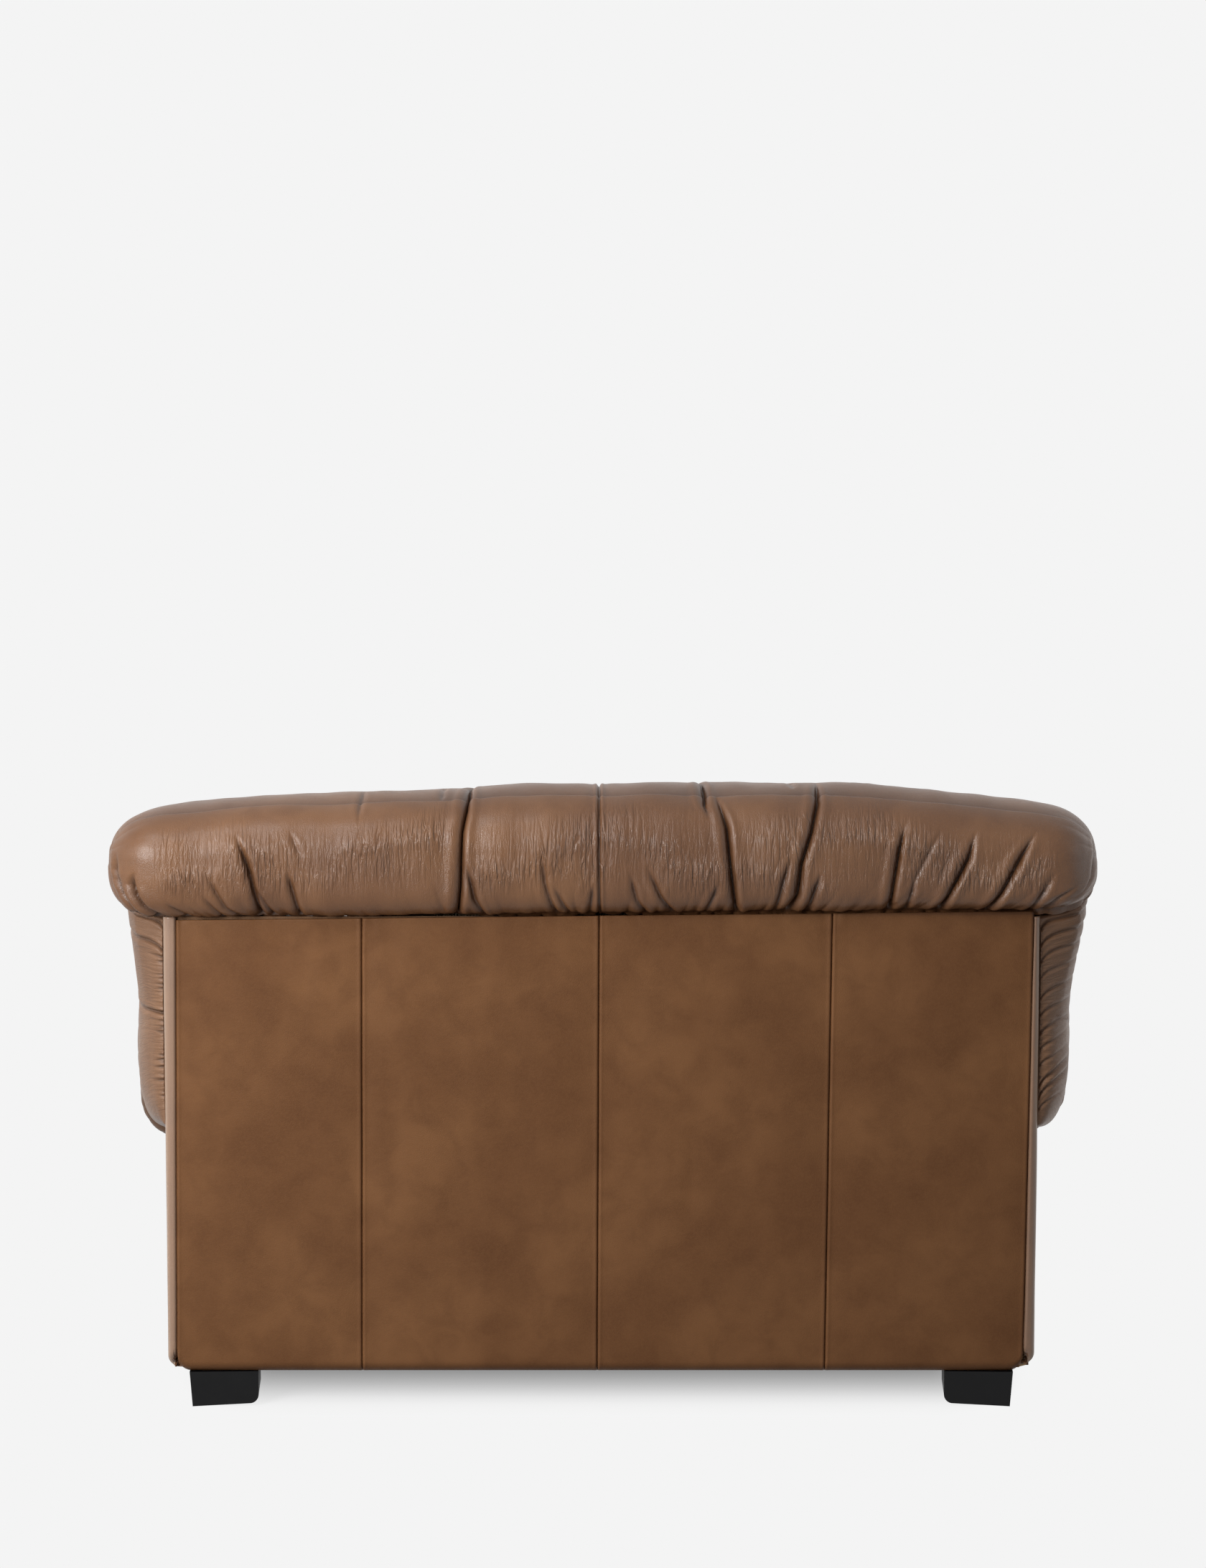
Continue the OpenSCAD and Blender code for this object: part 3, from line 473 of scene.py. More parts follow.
def foot_finish():
    """Black satin lacquer on wood: the grain only just shows, with scattered scuffs."""
    p = Paint("black_lacquered_wood")
    where = p.place()
    grain = p.noise(p.stretched((40.0, 300.0, 40.0)), 1.0, 3.0, 0.6)
    cloud = p.noise(where, 60.0, 2.0)
    scuff = p.noise(where, 240.0, 3.0, 0.7).above(0.62, 0.78)
    tone = p.mix(cloud, srgb(10, 10, 11), srgb(17, 17, 18))
    tone = p.mix(scuff * 0.2, tone, srgb(42, 42, 44))
    return p.surface({"Base Color": tone, "Roughness": 0.4 + cloud * 0.12 + scuff * 0.1,
                      "Normal": p.bump(grain, 0.0003, 0.5), "Specular IOR Level": 0.16})


def fibre_finish(name, tone, light, scale, depth, rough=0.95):
    """Felt, board, non-woven cloth or foam: a speckle of two tones over short tangled fibres or open cells."""
    p = Paint(name)
    where = p.place()
    speck = p.noise(where, scale, 4.0, 0.7)
    broad = p.noise(where, scale / 14, 2.0)
    blend = p.mix(speck.above(0.35, 0.7), tone, light)
    blend = p.mix(broad.above(0.4, 0.7) * 0.3, blend, tone)
    return p.surface({"Base Color": blend, "Roughness": rough - speck * 0.1, "Normal": p.bump(speck, depth, 0.8)})


def foam_finish():
    """Cut foam: pale yellow, with open cells."""
    p = Paint("cut_foam")
    where = p.place()
    cell = p.cells(where, 700.0)
    age = p.noise(where, 9.0, 2.0)
    tone = p.mix(age.above(0.35, 0.7), srgb(236, 224, 182), srgb(222, 200, 146))
    tone = p.mix(cell.above(0.5, 0.9) * 0.4, tone, srgb(190, 168, 118))
    return p.surface({"Base Color": tone, "Roughness": 0.9 - age * 0.1, "Normal": p.bump(cell, 0.0006, 0.7)})


def metal_finish(name, tone, rough):
    """Drawn or plated steel with fine drawing lines and faint staining."""
    p = Paint(name)
    where = p.place()
    lines = p.noise(p.stretched((900.0, 60.0, 900.0)), 1.0, 2.0)
    stain = p.noise(where, 45.0, 3.0, 0.6)
    shade = p.mix(stain.above(0.45, 0.75) * 0.5, tone, tuple(0.45 * c for c in tone))
    return p.surface({"Base Color": shade, "Metallic": 1.0, "Roughness": rough + stain * 0.15,
                      "Normal": p.bump(lines, 0.0001, 0.5)})


def webbing_finish():
    """Elastic webbing: rubber threads running along the strap, crossed by a tight weave."""
    p = Paint("elastic_webbing")
    where = p.place()
    ribs = p.get("TexWave", {"bands_direction": "X"}, {"Vector": where, "Scale": 90.0, "Distortion": 0.2})
    weave = p.get("TexWave", {"bands_direction": "Z"}, {"Vector": where, "Scale": 160.0, "Distortion": 0.3})
    tone = p.mix(ribs * 0.6 + weave * 0.4, srgb(52, 46, 40), srgb(148, 132, 108))
    return p.surface({"Base Color": tone, "Roughness": 0.85 - ribs * 0.1,
                      "Normal": p.bump(ribs + weave, 0.0005, 0.8)})


def nylon_finish():
    """Moulded nylon, off-white, scuffed on its face."""
    p = Paint("moulded_nylon")
    where = p.place()
    haze = p.noise(where, 180.0, 3.0, 0.6)
    tone = p.mix(haze, srgb(205, 203, 196), srgb(226, 224, 218))
    return p.surface({"Base Color": tone, "Roughness": 0.4 + haze * 0.2, "Normal": p.bump(haze, 0.0002, 0.5)})


panel_leather = leather_finish("back_panel_leather", gloss=0.1, coat=0.05)
edge_leather = leather_finish("side_leather", gloss=0.3, coat=0.6)
roll_leather = leather_finish("gathered_roll_leather", stretch=1.0, crown_highlight=0.8, gloss=0.42, coat=0.12, dull=0.38)
# pale lifts the arm covers towards a light grey-brown: painted sheen
arm_leather = leather_finish("ruched_arm_leather", puckers=0.4, crown_highlight=0.8, gloss=0.24, coat=0.05, dull=0.42,
                             pale=0.14)
seat_leather = leather_finish("seat_leather", stretch=0.5, crown_highlight=0.7, coat=0.15)

FINISH = {
    "hardwood": wood_finish("beech_rail", srgb(206, 170, 124), srgb(168, 126, 84), 0),
    "hardwood_long": wood_finish("beech_side_rail", srgb(206, 170, 124), srgb(168, 126, 84), 1),
    "hardwood_tall": wood_finish("beech_post", srgb(206, 170, 124), srgb(168, 126, 84), 2),
    "hardboard": fibre_finish("brown_hardboard", srgb(96, 66, 40), srgb(128, 92, 58), 900.0, 0.0002, 0.8),
    "spring_steel": metal_finish("spring_wire", (0.32, 0.32, 0.33), 0.38),
    "zinc_steel": metal_finish("zinc_plate", (0.62, 0.63, 0.65), 0.3),
    "webbing": webbing_finish(),
    "felt": fibre_finish("brown_felt", srgb(62, 46, 34), srgb(92, 72, 56), 700.0, 0.0008),
    "foam": foam_finish(),
    "lined_foam": fibre_finish("brown_lining", srgb(78, 55, 38), srgb(104, 78, 58), 900.0, 0.0003),
    "base_cloth": fibre_finish("black_base_cloth", srgb(16, 16, 17), srgb(34, 34, 35), 1100.0, 0.0003),
    "foot_wood": foot_finish(),
    "nylon": nylon_finish(),
    "leather": panel_leather,
}
LONG_NODES = ("side_rail", "arm_rail")
TALL_NODES = ("rear_post", "front_post")
SLOT = {part["node"]: part["material_slot"] for part in frame["record"]["subparts"]}


def dress_nodes():
    """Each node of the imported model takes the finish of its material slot, timber with its grain along it."""
    for name, node in frame["nodes"].items():
        kind = SLOT[name]
        if name == "back_foam":
            kind = "lined_foam"
        elif name.startswith(LONG_NODES):
            kind = "hardwood_long"
        elif name.startswith(TALL_NODES):
            kind = "hardwood_tall"
        node.data.materials.clear()
        node.data.materials.append(FINISH[kind])


# The roll over the top of the back

def roll_section(a):
    """Unit section of the roll, (towards the back, up), at the angles a from its rearmost line upwards."""
    n = np.where(np.sin(a) > 0, ROLL_N_UP, ROLL_N_LOW)
    return spow(np.cos(a), 2 / n), spow(np.sin(a), 2 / n)


def roll_girth():
    """Length round the section from its seam with the back panels, at each angle of ROLL_TURN."""
    back, up = roll_section(ROLL_TURN)
    return running(back * ROLL_HALF_D, up * (ROLL_TOP - ROLL_LOW) / 2)


ROLL_SEAM_A = math.radians(-64)
ROLL_TURN = np.linspace(ROLL_SEAM_A, ROLL_SEAM_A + 2 * math.pi, 6001)
GIRTH = roll_girth()
CREST = float(np.interp(math.pi / 2, ROLL_TURN, GIRTH))


def roll_top(x):
    """Height of the plain roll's crest, which sinks towards the ends."""
    return ROLL_TOP - ROLL_ARCH * (np.abs(x) / ROLL_STRAIGHT) ** 2.3


# The roll's crest as (x, height): it sinks on the sitter's left of the deep crease
CREST_LINE = [(-551, 671), (-520, 671), (-500, 673), (-453, 680), (-405, 685), (-358, 689), (-310, 694),
              (-260, 698), (-150, 699), (0, 697.5), (117, 697), (164, 693.5), (211, 689), (259, 687), (306, 686),
              (354, 685.5), (401, 683.5), (449, 679.5), (496, 671.5), (551, 664)]


def crest(x):
    """Height of the crest at x: the crest line, eased over 50 mm."""
    fine = np.arange(-560.0, 561.0, 4.0)
    line = np.interp(fine, *np.array(CREST_LINE, float).T)
    ease = np.hanning(15)[1:-1]
    line = np.convolve(np.pad(line, 6, mode="edge"), ease / ease.sum(), mode="valid")
    return np.interp(x, fine, line)


def roll_fill(x):
    """Share of the full section that is left at x, in the rounded ends."""
    return bow(np.maximum(0.0, np.abs(x) - ROLL_STRAIGHT) / ROLL_END, ROLL_END_N)


def roll_under(x):
    """Height of the roll's underside."""
    return ROLL_LOW + (roll_top(x) - ROLL_LOW) / 2 * (1 - roll_fill(x))


def girth_at(x, z):
    """Length round the roll's back at the height z; past the crest, z is 700 plus the length past it."""
    half = (roll_top(x) - ROLL_LOW) / 2
    up = np.clip((z - ROLL_LOW - half) / (half * np.maximum(roll_fill(x), 0.3)), -1, 1)
    a = np.arcsin(spow(up, np.where(up > 0, ROLL_N_UP, ROLL_N_LOW) / 2))
    return np.where(z >= ROLL_TOP, CREST + z - ROLL_TOP, np.interp(a, ROLL_TURN, GIRTH))


# Creases of the roll: depth, half-width, how far the bank on the sitter's left leans over it, and its path from
# the seam up, as (x, height), where a height above 700 counts on past the crest.
ROLL_CREASES = [
    (6.5, 3.2, 2.2, [(374, 555), (389, 610), (396, 630), (404, 655)]),
    (4.0, 3.0, 0.8, [(331, 555), (338, 580), (347, 613)]),
    (3.2, 2.6, 0.8, [(392, 555), (414, 568), (436, 606)]),
    (2.6, 2.4, 0.6, [(414, 555), (441, 584)]),
    (2.4, 2.4, 0.6, [(450, 555), (482, 577)]),
    (2.0, 2.6, 0.4, [(328, 620), (334, 632), (343, 655)]),
    (3.4, 2.6, 0.8, [(359, 555), (381, 592)]),
    (9.5, 3.6, 5.0, [(161, 555), (157, 590), (156, 625), (155, 654), (151, 680), (148, 702), (143, 730),
                     (140, 760)]),
    (4.6, 3.2, 1.2, [(128, 555), (140, 576), (150, 622)]),
    (3.2, 3.0, 0.8, [(49, 555), (62, 595), (67, 638)]),
    (3.0, 2.8, 0.8, [(34, 555), (54, 596)]),
    (2.4, 2.4, 0.5, [(14, 555), (8, 597)]),
    (3.2, 2.8, 0.8, [(-50, 555), (-39, 573), (-31, 610)]),
    (3.8, 2.8, 1.0, [(-80, 555), (-64, 580), (-49, 618)]),
    (7.0, 3.4, 3.0, [(-121, 662), (-113, 682), (-111, 700), (-110, 724), (-108, 750)]),
    (8.0, 3.4, 2.6, [(-147, 555), (-146, 573), (-140, 624), (-137, 657), (-130, 682), (-124, 694)]),
    (3.0, 2.6, 0.8, [(-113, 555), (-130, 597)]),
    (7.6, 3.6, 2.6, [(-203, 555), (-215, 580), (-219, 616), (-230, 650), (-237, 680), (-240, 702), (-242, 730)]),
    (3.6, 3.0, 0.8, [(-190, 555), (-200, 595), (-211, 630)]),
    (4.0, 3.0, 1.0, [(-225, 555), (-234, 582), (-243, 610)]),
    (7.0, 3.2, 2.4, [(-316, 555), (-321, 592), (-327, 631), (-337, 667)]),
    (3.0, 2.6, 0.8, [(-335, 555), (-346, 603)]),
    (1.8, 3.0, 0.3, [(-338, 582), (-356, 620), (-377, 658)]),
    (7.0, 3.4, 2.4, [(-371, 555), (-385, 586), (-403, 622), (-413, 655)]),
    (6.6, 3.4, 2.2, [(-423, 555), (-446, 595), (-461, 625), (-480, 655)]),
    (3.6, 2.8, 1.0, [(-470, 555), (-488, 591), (-498, 610)]),
    (3.4, 2.8, 1.0, [(-481, 555), (-503, 576), (-523, 593)]),
    (6.5, 3.0, 1.6, [(456, 556), (479, 558), (494, 563), (506, 570), (514, 581), (517, 592), (516, 600),
                     (512, 609)]),
    (4.0, 2.4, 0.8, [(500, 557), (512, 563), (521, 571), (529, 581), (534, 592), (537, 606), (536, 616),
                     (535, 630)]),
    (3.2, 2.2, 0.5, [(526, 571), (534, 578), (542, 590), (547, 606), (548, 618), (546, 630),
                     (543, 641), (537, 655)]),
    (3.6, 2.4, 0.6, [(-500, 567), (-514, 573), (-529, 582), (-540, 598), (-547, 621), (-546, 643), (-540, 663)]),
    (2.2, 2.8, 0.5, [(267, 660), (267, 680), (265, 702), (264, 720)]),
    (1.8, 2.8, 0.4, [(178, 690), (176, 706), (172, 726)]),
    (2.0, 3.0, 0.5, [(-213, 694), (-212, 706), (-208, 730)]),
    (1.6, 3.0, 0.4, [(-288, 694), (-290, 706), (-294, 726)]),
    (1.6, 3.0, 0.4, [(-352, 690), (-356, 704), (-360, 722)]),
]


def furrow(d, width):
    """Section of a fold at d from it: a sharp bottom between raised banks, with long shoulders."""
    d = np.abs(d)
    return -np.exp(-(d / width) ** 1.25) - 0.55 * np.exp(-d / (6 * width)) + 0.3 * bell(d - 3 * width, 1.9 * width)


def crease(x, g, depth, width, lean, path):
    """What one crease does at the places x along the roll and g round it: (how far out, how far sideways). The
    depth falls off with the distance from the path, and it runs out in its upper third."""
    places = np.array(path, float)
    at = girth_at(places[:, 0], places[:, 1])
    middle = np.interp(g, at, places[:, 0])
    slope = np.interp(g, (at[1:] + at[:-1]) / 2, np.diff(places[:, 0]) / np.diff(at))
    d = (x - middle) / np.sqrt(1 + slope ** 2)
    span = at[-1] - at[0]
    reach = 1 - smooth(at[-1] - 0.4 * span, at[-1], g)
    if path[0][1] > 560:
        reach = reach * smooth(at[0], at[0] + 0.3 * span, g)
    core = 0.82 * width * (0.55 + 0.45 * reach)
    return depth * reach * furrow(d, core), -lean * reach * bell(d - 1.3 * core, 1.4 * core)


def back_roll():
    """The roll: its section carried from the sitter's left end to the right, shrunk to the ends by a superellipse,
    then pushed along its normals by the creases, the gathers along its seam and slow swellings."""
    middle = 660
    turn = np.linspace(0.035, math.pi / 2, 46)
    end = ROLL_STRAIGHT + ROLL_END * np.cos(turn) ** (2 / ROLL_END_N)
    shrink = np.sin(turn) ** (2 / ROLL_END_N)
    line = np.concatenate([end[:-1], np.linspace(ROLL_STRAIGHT, -ROLL_STRAIGHT, middle), -end[::-1][1:]])
    full = np.concatenate([shrink[:-1], np.ones(middle), shrink[::-1][1:]])[:, None]
    around = spaced((0, 2.2), (CREST + 40, 4.5), (GIRTH[-1], 1))[:-1]
    back, up = roll_section(np.interp(around, GIRTH, ROLL_TURN))
    x, g = np.meshgrid(line, around, indexing="ij")
    half = ((roll_top(line) - ROLL_LOW) / 2)[:, None]
    above = (crest(line) - ROLL_LOW)[:, None] - half
    y = ROLL_Y + ROLL_HALF_D * full * back
    z = ROLL_LOW + half + np.where(up > 0, above, half) * full * up
    z = z - SEAM_SLOPE * x * (1 - smooth(0, 60, g)) * full

    folds, side = np.zeros_like(x), np.zeros_like(x)
    for depth, width, lean, path in ROLL_CREASES:
        push, shift = crease(x, g, depth, width, lean, path)
        folds += push
        side += shift
    # small gathers fan out from the seam
    fan = x / (1 + 0.0021 * np.minimum(g, 90))
    seam_gathers = gathers(fan / 15, g / 60, 3) * 1.9 * np.exp(-g / 15)
    seam_gathers = seam_gathers + gathers(fan / 34, g / 90, 8) * 1.8 * np.exp(-g / 34)
    front_gathers = gathers(x / 22, g / 60, 21) * 2.4 * smooth(CREST + 70, GIRTH[-1] - 30, g)
    end_gathers = gathers(g / 30, np.abs(x) / 60, 14) * 0.7 * smooth(492, 520, np.abs(x)) * full
    swell = 2.6 * noise(x / 96, g / 150, 5) + 1.1 * noise(x / 36 + 4, g / 90, 6)
    # the sewn seam in the middle: a narrow groove between two low lips
    seam = x - (2 + 0.004 * (g - 60))
    sewn = -3.4 * bell(seam, 1.3) + 1.1 * bell(np.abs(seam) - 3.6, 2.2) - 1.6 * bell(seam, 12)
    out = folds + ((seam_gathers + swell + end_gathers) * (1 - 0.6 * bell(seam, 6)) + front_gathers + sewn)
    out *= smooth(0.0, 0.45, full)
    low = 1 - smooth(0, 5, g)
    out = out * (1 - 0.75 * low) - 1.5 * low
    base = np.stack([x - 4 * smooth(440, 540, -x), y, z], 2)
    points = base + normals(base, True) * out[..., None]
    points[..., 0] += side

    # the fold mark: painted shade in the creases, the gathers' hollows, the middle seam's groove and along the
    # seam under the roll, and painted highlight on the crowns
    dark = np.minimum(folds, 0) + np.minimum(seam_gathers, 0) * 1.2 + np.minimum(sewn, 0) - 2.5 * low
    bright = np.maximum(folds + seam_gathers, 0)
    # the leather is pulled in a band of uneven width across the back
    on_back = (back > -0.2) & (g < CREST + 60)
    band = g * (1 + 0.16 * noise(x / 70, g / 200, 17))
    pull = smooth(22, 66, band) * (1 - smooth(84, 150, band))
    pull = pull * np.where(on_back, 1 - smooth(470, 510, np.abs(x)), 0)
    uv = pairs(line, np.append(around, GIRTH[-1]))
    tube("back_roll_cover", points, uv, {"fold": dark + bright, "pull": pull}, material=roll_leather,
         replaced=("back_roll",), fill=0.8)


# The outside back

def hem_profile(top, under, steps=9):
    """Places down the flat leather, from its top edge, round the turn at the bottom and in under the box: how far
    out of the face, and height."""
    turn = np.linspace(0, math.pi / 2, steps)
    down = spaced((top, 2.0), (top - 14, 7.0), (FOOT_H + HEM_R, 1))[:-1]
    flat = np.linspace(HEM_R, under, 5)[1:]
    out = np.concatenate([np.zeros(len(down)), HEM_R * (np.cos(turn) - 1), -flat])
    z = np.concatenate([down, FOOT_H + HEM_R * (1 - np.sin(turn)), np.full(len(flat), float(FOOT_H))])
    return out, z


def edge_steps(width):
    """Shares across a panel, close together at its two seams."""
    near = np.array([0, 0.4, 0.8, 1.3, 1.9, 2.6, 3.5, 4.6, 6, 8, 11, 15, 20, 26])
    middle = np.linspace(32, width - 32, max(2, int(width / 8)))
    return np.concatenate([near, middle, width - near[::-1]]) / width


def seam_line(place, z):
    """x of an upright seam that stands at place = (x at the top, x at the bottom)."""
    return lerp(place[1], place[0], (z - FOOT_H) / (SEAM_Z - FOOT_H))


def seam_edge(d):
    """How far the leather stands off at d from its seam: rolled in over the last 3 mm, with a low lip beside."""
    return -1.8 * bell(d, 0.9) + 0.45 * bell(d - 3.0, 1.6)


def panel_wrinkle(x, z):
    """The soft upright wrinkle low on the panel beside the middle seam, on the sitter's right."""
    across = 0.8 * bell(x + 88 + 4 * np.sin(z / 40), 5) - 0.5 * bell(x + 98, 6) + 0.45 * bell(x + 74, 6)
    return across * smooth(190, 240, z) * (1 - smooth(300, 350, z))


def outside_panel(node, left, right, seed, free_left, free_right):
    """One upright panel of the outside back between two seams: flat, a little full, faintly rippled, rolled in at
    its seams, and turned under the box. A free edge, beside a strip, has a rounded lower corner."""
    out, z = hem_profile(SEAM_Z + 1, HEM_W)
    x0, x1 = seam_line(left, z)[:, None], seam_line(right, z)[:, None]
    share = edge_steps(abs(left[0] - right[0]))
    x = lerp(x0, x1, share[None, :])
    z = np.broadcast_to(z[:, None], x.shape).copy()
    out = np.broadcast_to(out[:, None], x.shape)
    wall = smooth(FOOT_H, FOOT_H + 30, z)
    d_left, d_right = np.abs(x - x0), np.abs(x - x1)
    puff = seam_edge(d_left) + seam_edge(d_right)
    puff += 1.6 * (1 - (2 * d_left / np.abs(x1 - x0) - 1) ** 4) * smooth(FOOT_H, FOOT_H + 60, z)
    puff += (0.55 * noise(x / 60, z / 120, seed) + 0.22 * noise(x / 17, z / 46, seed + 1)) * wall
    # puckers where the roll is sewn on, strongest by the seams
    near_seam = bell(d_left, 34) + bell(d_right, 34)
    puff += (0.5 + 0.7 * near_seam) * noise(x / 9, z / 30, seed + 2) * np.exp(-(SEAM_Z - z) / 16)
    if node == "back_panel_inner_right":
        puff += panel_wrinkle(x, z)
    y = BACK_Y + out + puff
    lift = np.zeros_like(z)
    for free, d in ((free_left, d_left), (free_right, d_right)):
        if free:
            round_off = CORNER_R - np.sqrt(np.maximum(0, CORNER_R ** 2 - np.maximum(0, CORNER_R - d) ** 2))
            lift += round_off * (1 - smooth(FOOT_H + 10, FOOT_H + 70, z))
    z = z + lift
    z = z - SEAM_SLOPE * x * smooth(SEAM_Z - 60, SEAM_Z, z)
    outer = np.stack([x, y, z], 2)
    inner = outer - normals(np.stack([x, BACK_Y + out, z], 2)) * (LEATHER_T - GAP)
    inner[..., 1] -= np.where(np.abs(out) < 1, puff, 0)
    length = running(out[:, 0], z[:, len(share) // 2])
    uv = np.stack([x, np.broadcast_to(length[:, None], x.shape)], 2)
    # the fold mark: painted shade in the seam grooves and in a band just under the roll, and painted highlight on
    # the lips beside the seams
    dark = -3.2 * (bell(d_left, 0.7) + bell(d_right, 0.7))
    dark = dark + 1.6 * (bell(d_left - 2.6, 1.2) + bell(d_right - 2.6, 1.2)) - 2.0 * np.exp(-(SEAM_Z - z) / 4)
    sheet_solid(node + "_leather", outer, inner, uv, {"fold": dark}, material=panel_leather, replaced=(node,))


# x of the five upright seams of the outside back, (at the top, at the bottom)
SEAMS = [(471, 476), (265, 268), (2, 4.4), (-256, -250.6), (-479, -473)]


def outside_back():
    """The four panels from the sitter's left to the right; the outer two have a free edge."""
    for k, place in enumerate(("outer_left", "inner_left", "inner_right", "outer_right")):
        outside_panel("back_panel_" + place, SEAMS[k], SEAMS[k + 1], 20 + 10 * k, k == 0, k == 3)


def mirrored(grid, side):
    """A grid drawn for the sitter's left, or its mirror image with its columns turned round to face outwards."""
    if side > 0:
        return grid
    flipped = grid[:, ::-1].copy()
    if flipped.ndim == 3 and flipped.shape[2] == 3:
        flipped[..., 0] *= -1
    return flipped


def tuck_z(y):
    """Height of the side leather's top edge, which is tucked in under the pad."""
    return lerp(178, 338, (y - BORDER_Y) / BOX_D) + TUCK


def side_panel(side):
    """The leather round the side of the box: a front strip, the front corner, the long side, the rear corner and
    the strip beside the outside back, along a path in plan with its outward direction at each place."""
    strip = SEAMS[0] if side > 0 else (-SEAMS[-1][0], -SEAMS[-1][1])
    front_y, rear_y = BORDER_Y + CORNER_R, BACK_Y - REAR_R
    front_x, rear_x = side_x(front_y, CORNER_R), side_x(rear_y, REAR_R)
    out, z = hem_profile(SEAM_Z, HEM_W)
    seam = seam_line(strip, z)[:, None]
    # the rear corner turns as far as the leaning seam lets it, and the strip's last columns follow the seam
    turn = np.linspace(0, 1, 12)
    front_a = np.radians(lerp(-90, math.degrees(SPLAY), turn))
    rear_a = lerp(SPLAY, np.arccos(np.clip((seam + 3.5 - rear_x) / REAR_R, 0, 0.9)), turn[None, :])
    long_y = np.concatenate([np.linspace(front_y, BACK_Y - ARM_START - 2, 90)[1:], [BACK_Y - ARM_START + 0.5]])
    tail_x = seam + np.array([3.4, 2.6, 1.9, 1.3, 0.8, 0.4, 0.0])
    tail_y = rear_y + np.sqrt(np.maximum(0, REAR_R ** 2 - np.maximum(0, tail_x - rear_x) ** 2))

    def path(corner, straight, *rear):
        """One measure along the whole path: the same in every row as far as the rear corner."""
        ahead = np.concatenate([corner, straight])
        return np.concatenate([np.broadcast_to(ahead, (len(z), len(ahead))), *rear], 1)

    x = path(front_x + CORNER_R * np.cos(front_a), side_x(long_y, 0), rear_x + REAR_R * np.cos(rear_a), tail_x)
    y = path(front_y + CORNER_R * np.sin(front_a), long_y, rear_y + REAR_R * np.sin(rear_a), tail_y)
    a = path(front_a, np.full(len(long_y), SPLAY), rear_a, np.full(tail_x.shape, math.pi / 2))
    top = np.where(y > BACK_Y - ARM_START, float(SEAM_Z), tuck_z(y))
    z = z[:, None] * np.ones_like(x)
    share = (z - FOOT_H - HEM_R) / (SEAM_Z - FOOT_H - HEM_R)
    z = np.where(share > 0, FOOT_H + HEM_R + share * (top - FOOT_H - HEM_R), z)
    under = np.where(a > SPLAY + 0.01, REAR_R - 1.0, np.where(a < SPLAY - 0.01, CORNER_R - 2.0, HEM_W))
    out = np.maximum(out[:, None], -under)
    d = x - seam + np.where(y < rear_y + 1, 99, 0)
    beside = (1 - smooth(CORNER_R, 120, BACK_Y - y)) * (5 if side > 0 else 8)
    corner_lift = beside + np.where(a > SPLAY + 0.01, (a - SPLAY) / (math.pi / 2 - SPLAY), 0) * 10
    z = z + corner_lift * (1 - smooth(FOOT_H + 14, FOOT_H + 80, z))
    length = running(x[0], y[0])
    puff = seam_edge(d) + 0.35 * noise(length[None, :] / 50, z / 90, 60 + side) * smooth(FOOT_H, FOOT_H + 30, z)
    puff = puff + 0.9 * np.sin(np.clip(d / 17, 0, 1) * math.pi)
    reach = out + puff
    outer = np.stack([x + np.cos(a) * reach, y + np.sin(a) * reach, z], 2)
    base = np.stack([x + np.cos(a) * out, y + np.sin(a) * out, z], 2)
    inner = base - normals(base) * (LEATHER_T - GAP)
    uv = np.stack([np.broadcast_to(length, x.shape), z], 2)
    # the fold mark: painted shade in the seam groove and in a band just under the roll, and painted highlight on
    # the lip beside the seam
    dark = -3.0 * bell(d, 0.8) + 1.8 * bell(d - 3, 1.3) - 2.0 * np.exp(-(SEAM_Z - z) / 4)
    # painted sheen on the rear corner and the strip beside the outside back, stronger on the sitter's left than on
    # the right
    painted_edge_sheen = np.where(a > 0.12, 1.0, 0.0) * (bell(np.degrees(a) - 22, 30) * 0.5 + (0.3 if side > 0 else 0.18))
    outer, inner, uv, dark, painted_edge_sheen = (mirrored(grid, side) for grid in (outer, inner, uv, dark, painted_edge_sheen))
    sheet_solid("side_leather_" + SIDE_NAME[side], outer, inner, uv, {"fold": dark, "painted_edge_sheen": painted_edge_sheen},
                material=edge_leather, replaced=("side_panel_" + SIDE_NAME[side],))


# The arms

def arm_t(u):
    """Share of the arm's length at u from the outside back."""
    return clamp((u - ARM_START) / (ARM_END - ARM_START))


def front_draw(u):
    """How far the pad is drawn in towards its seam with the arm's front."""
    return 13 * smooth(BOX_D - 60, BOX_D, u)


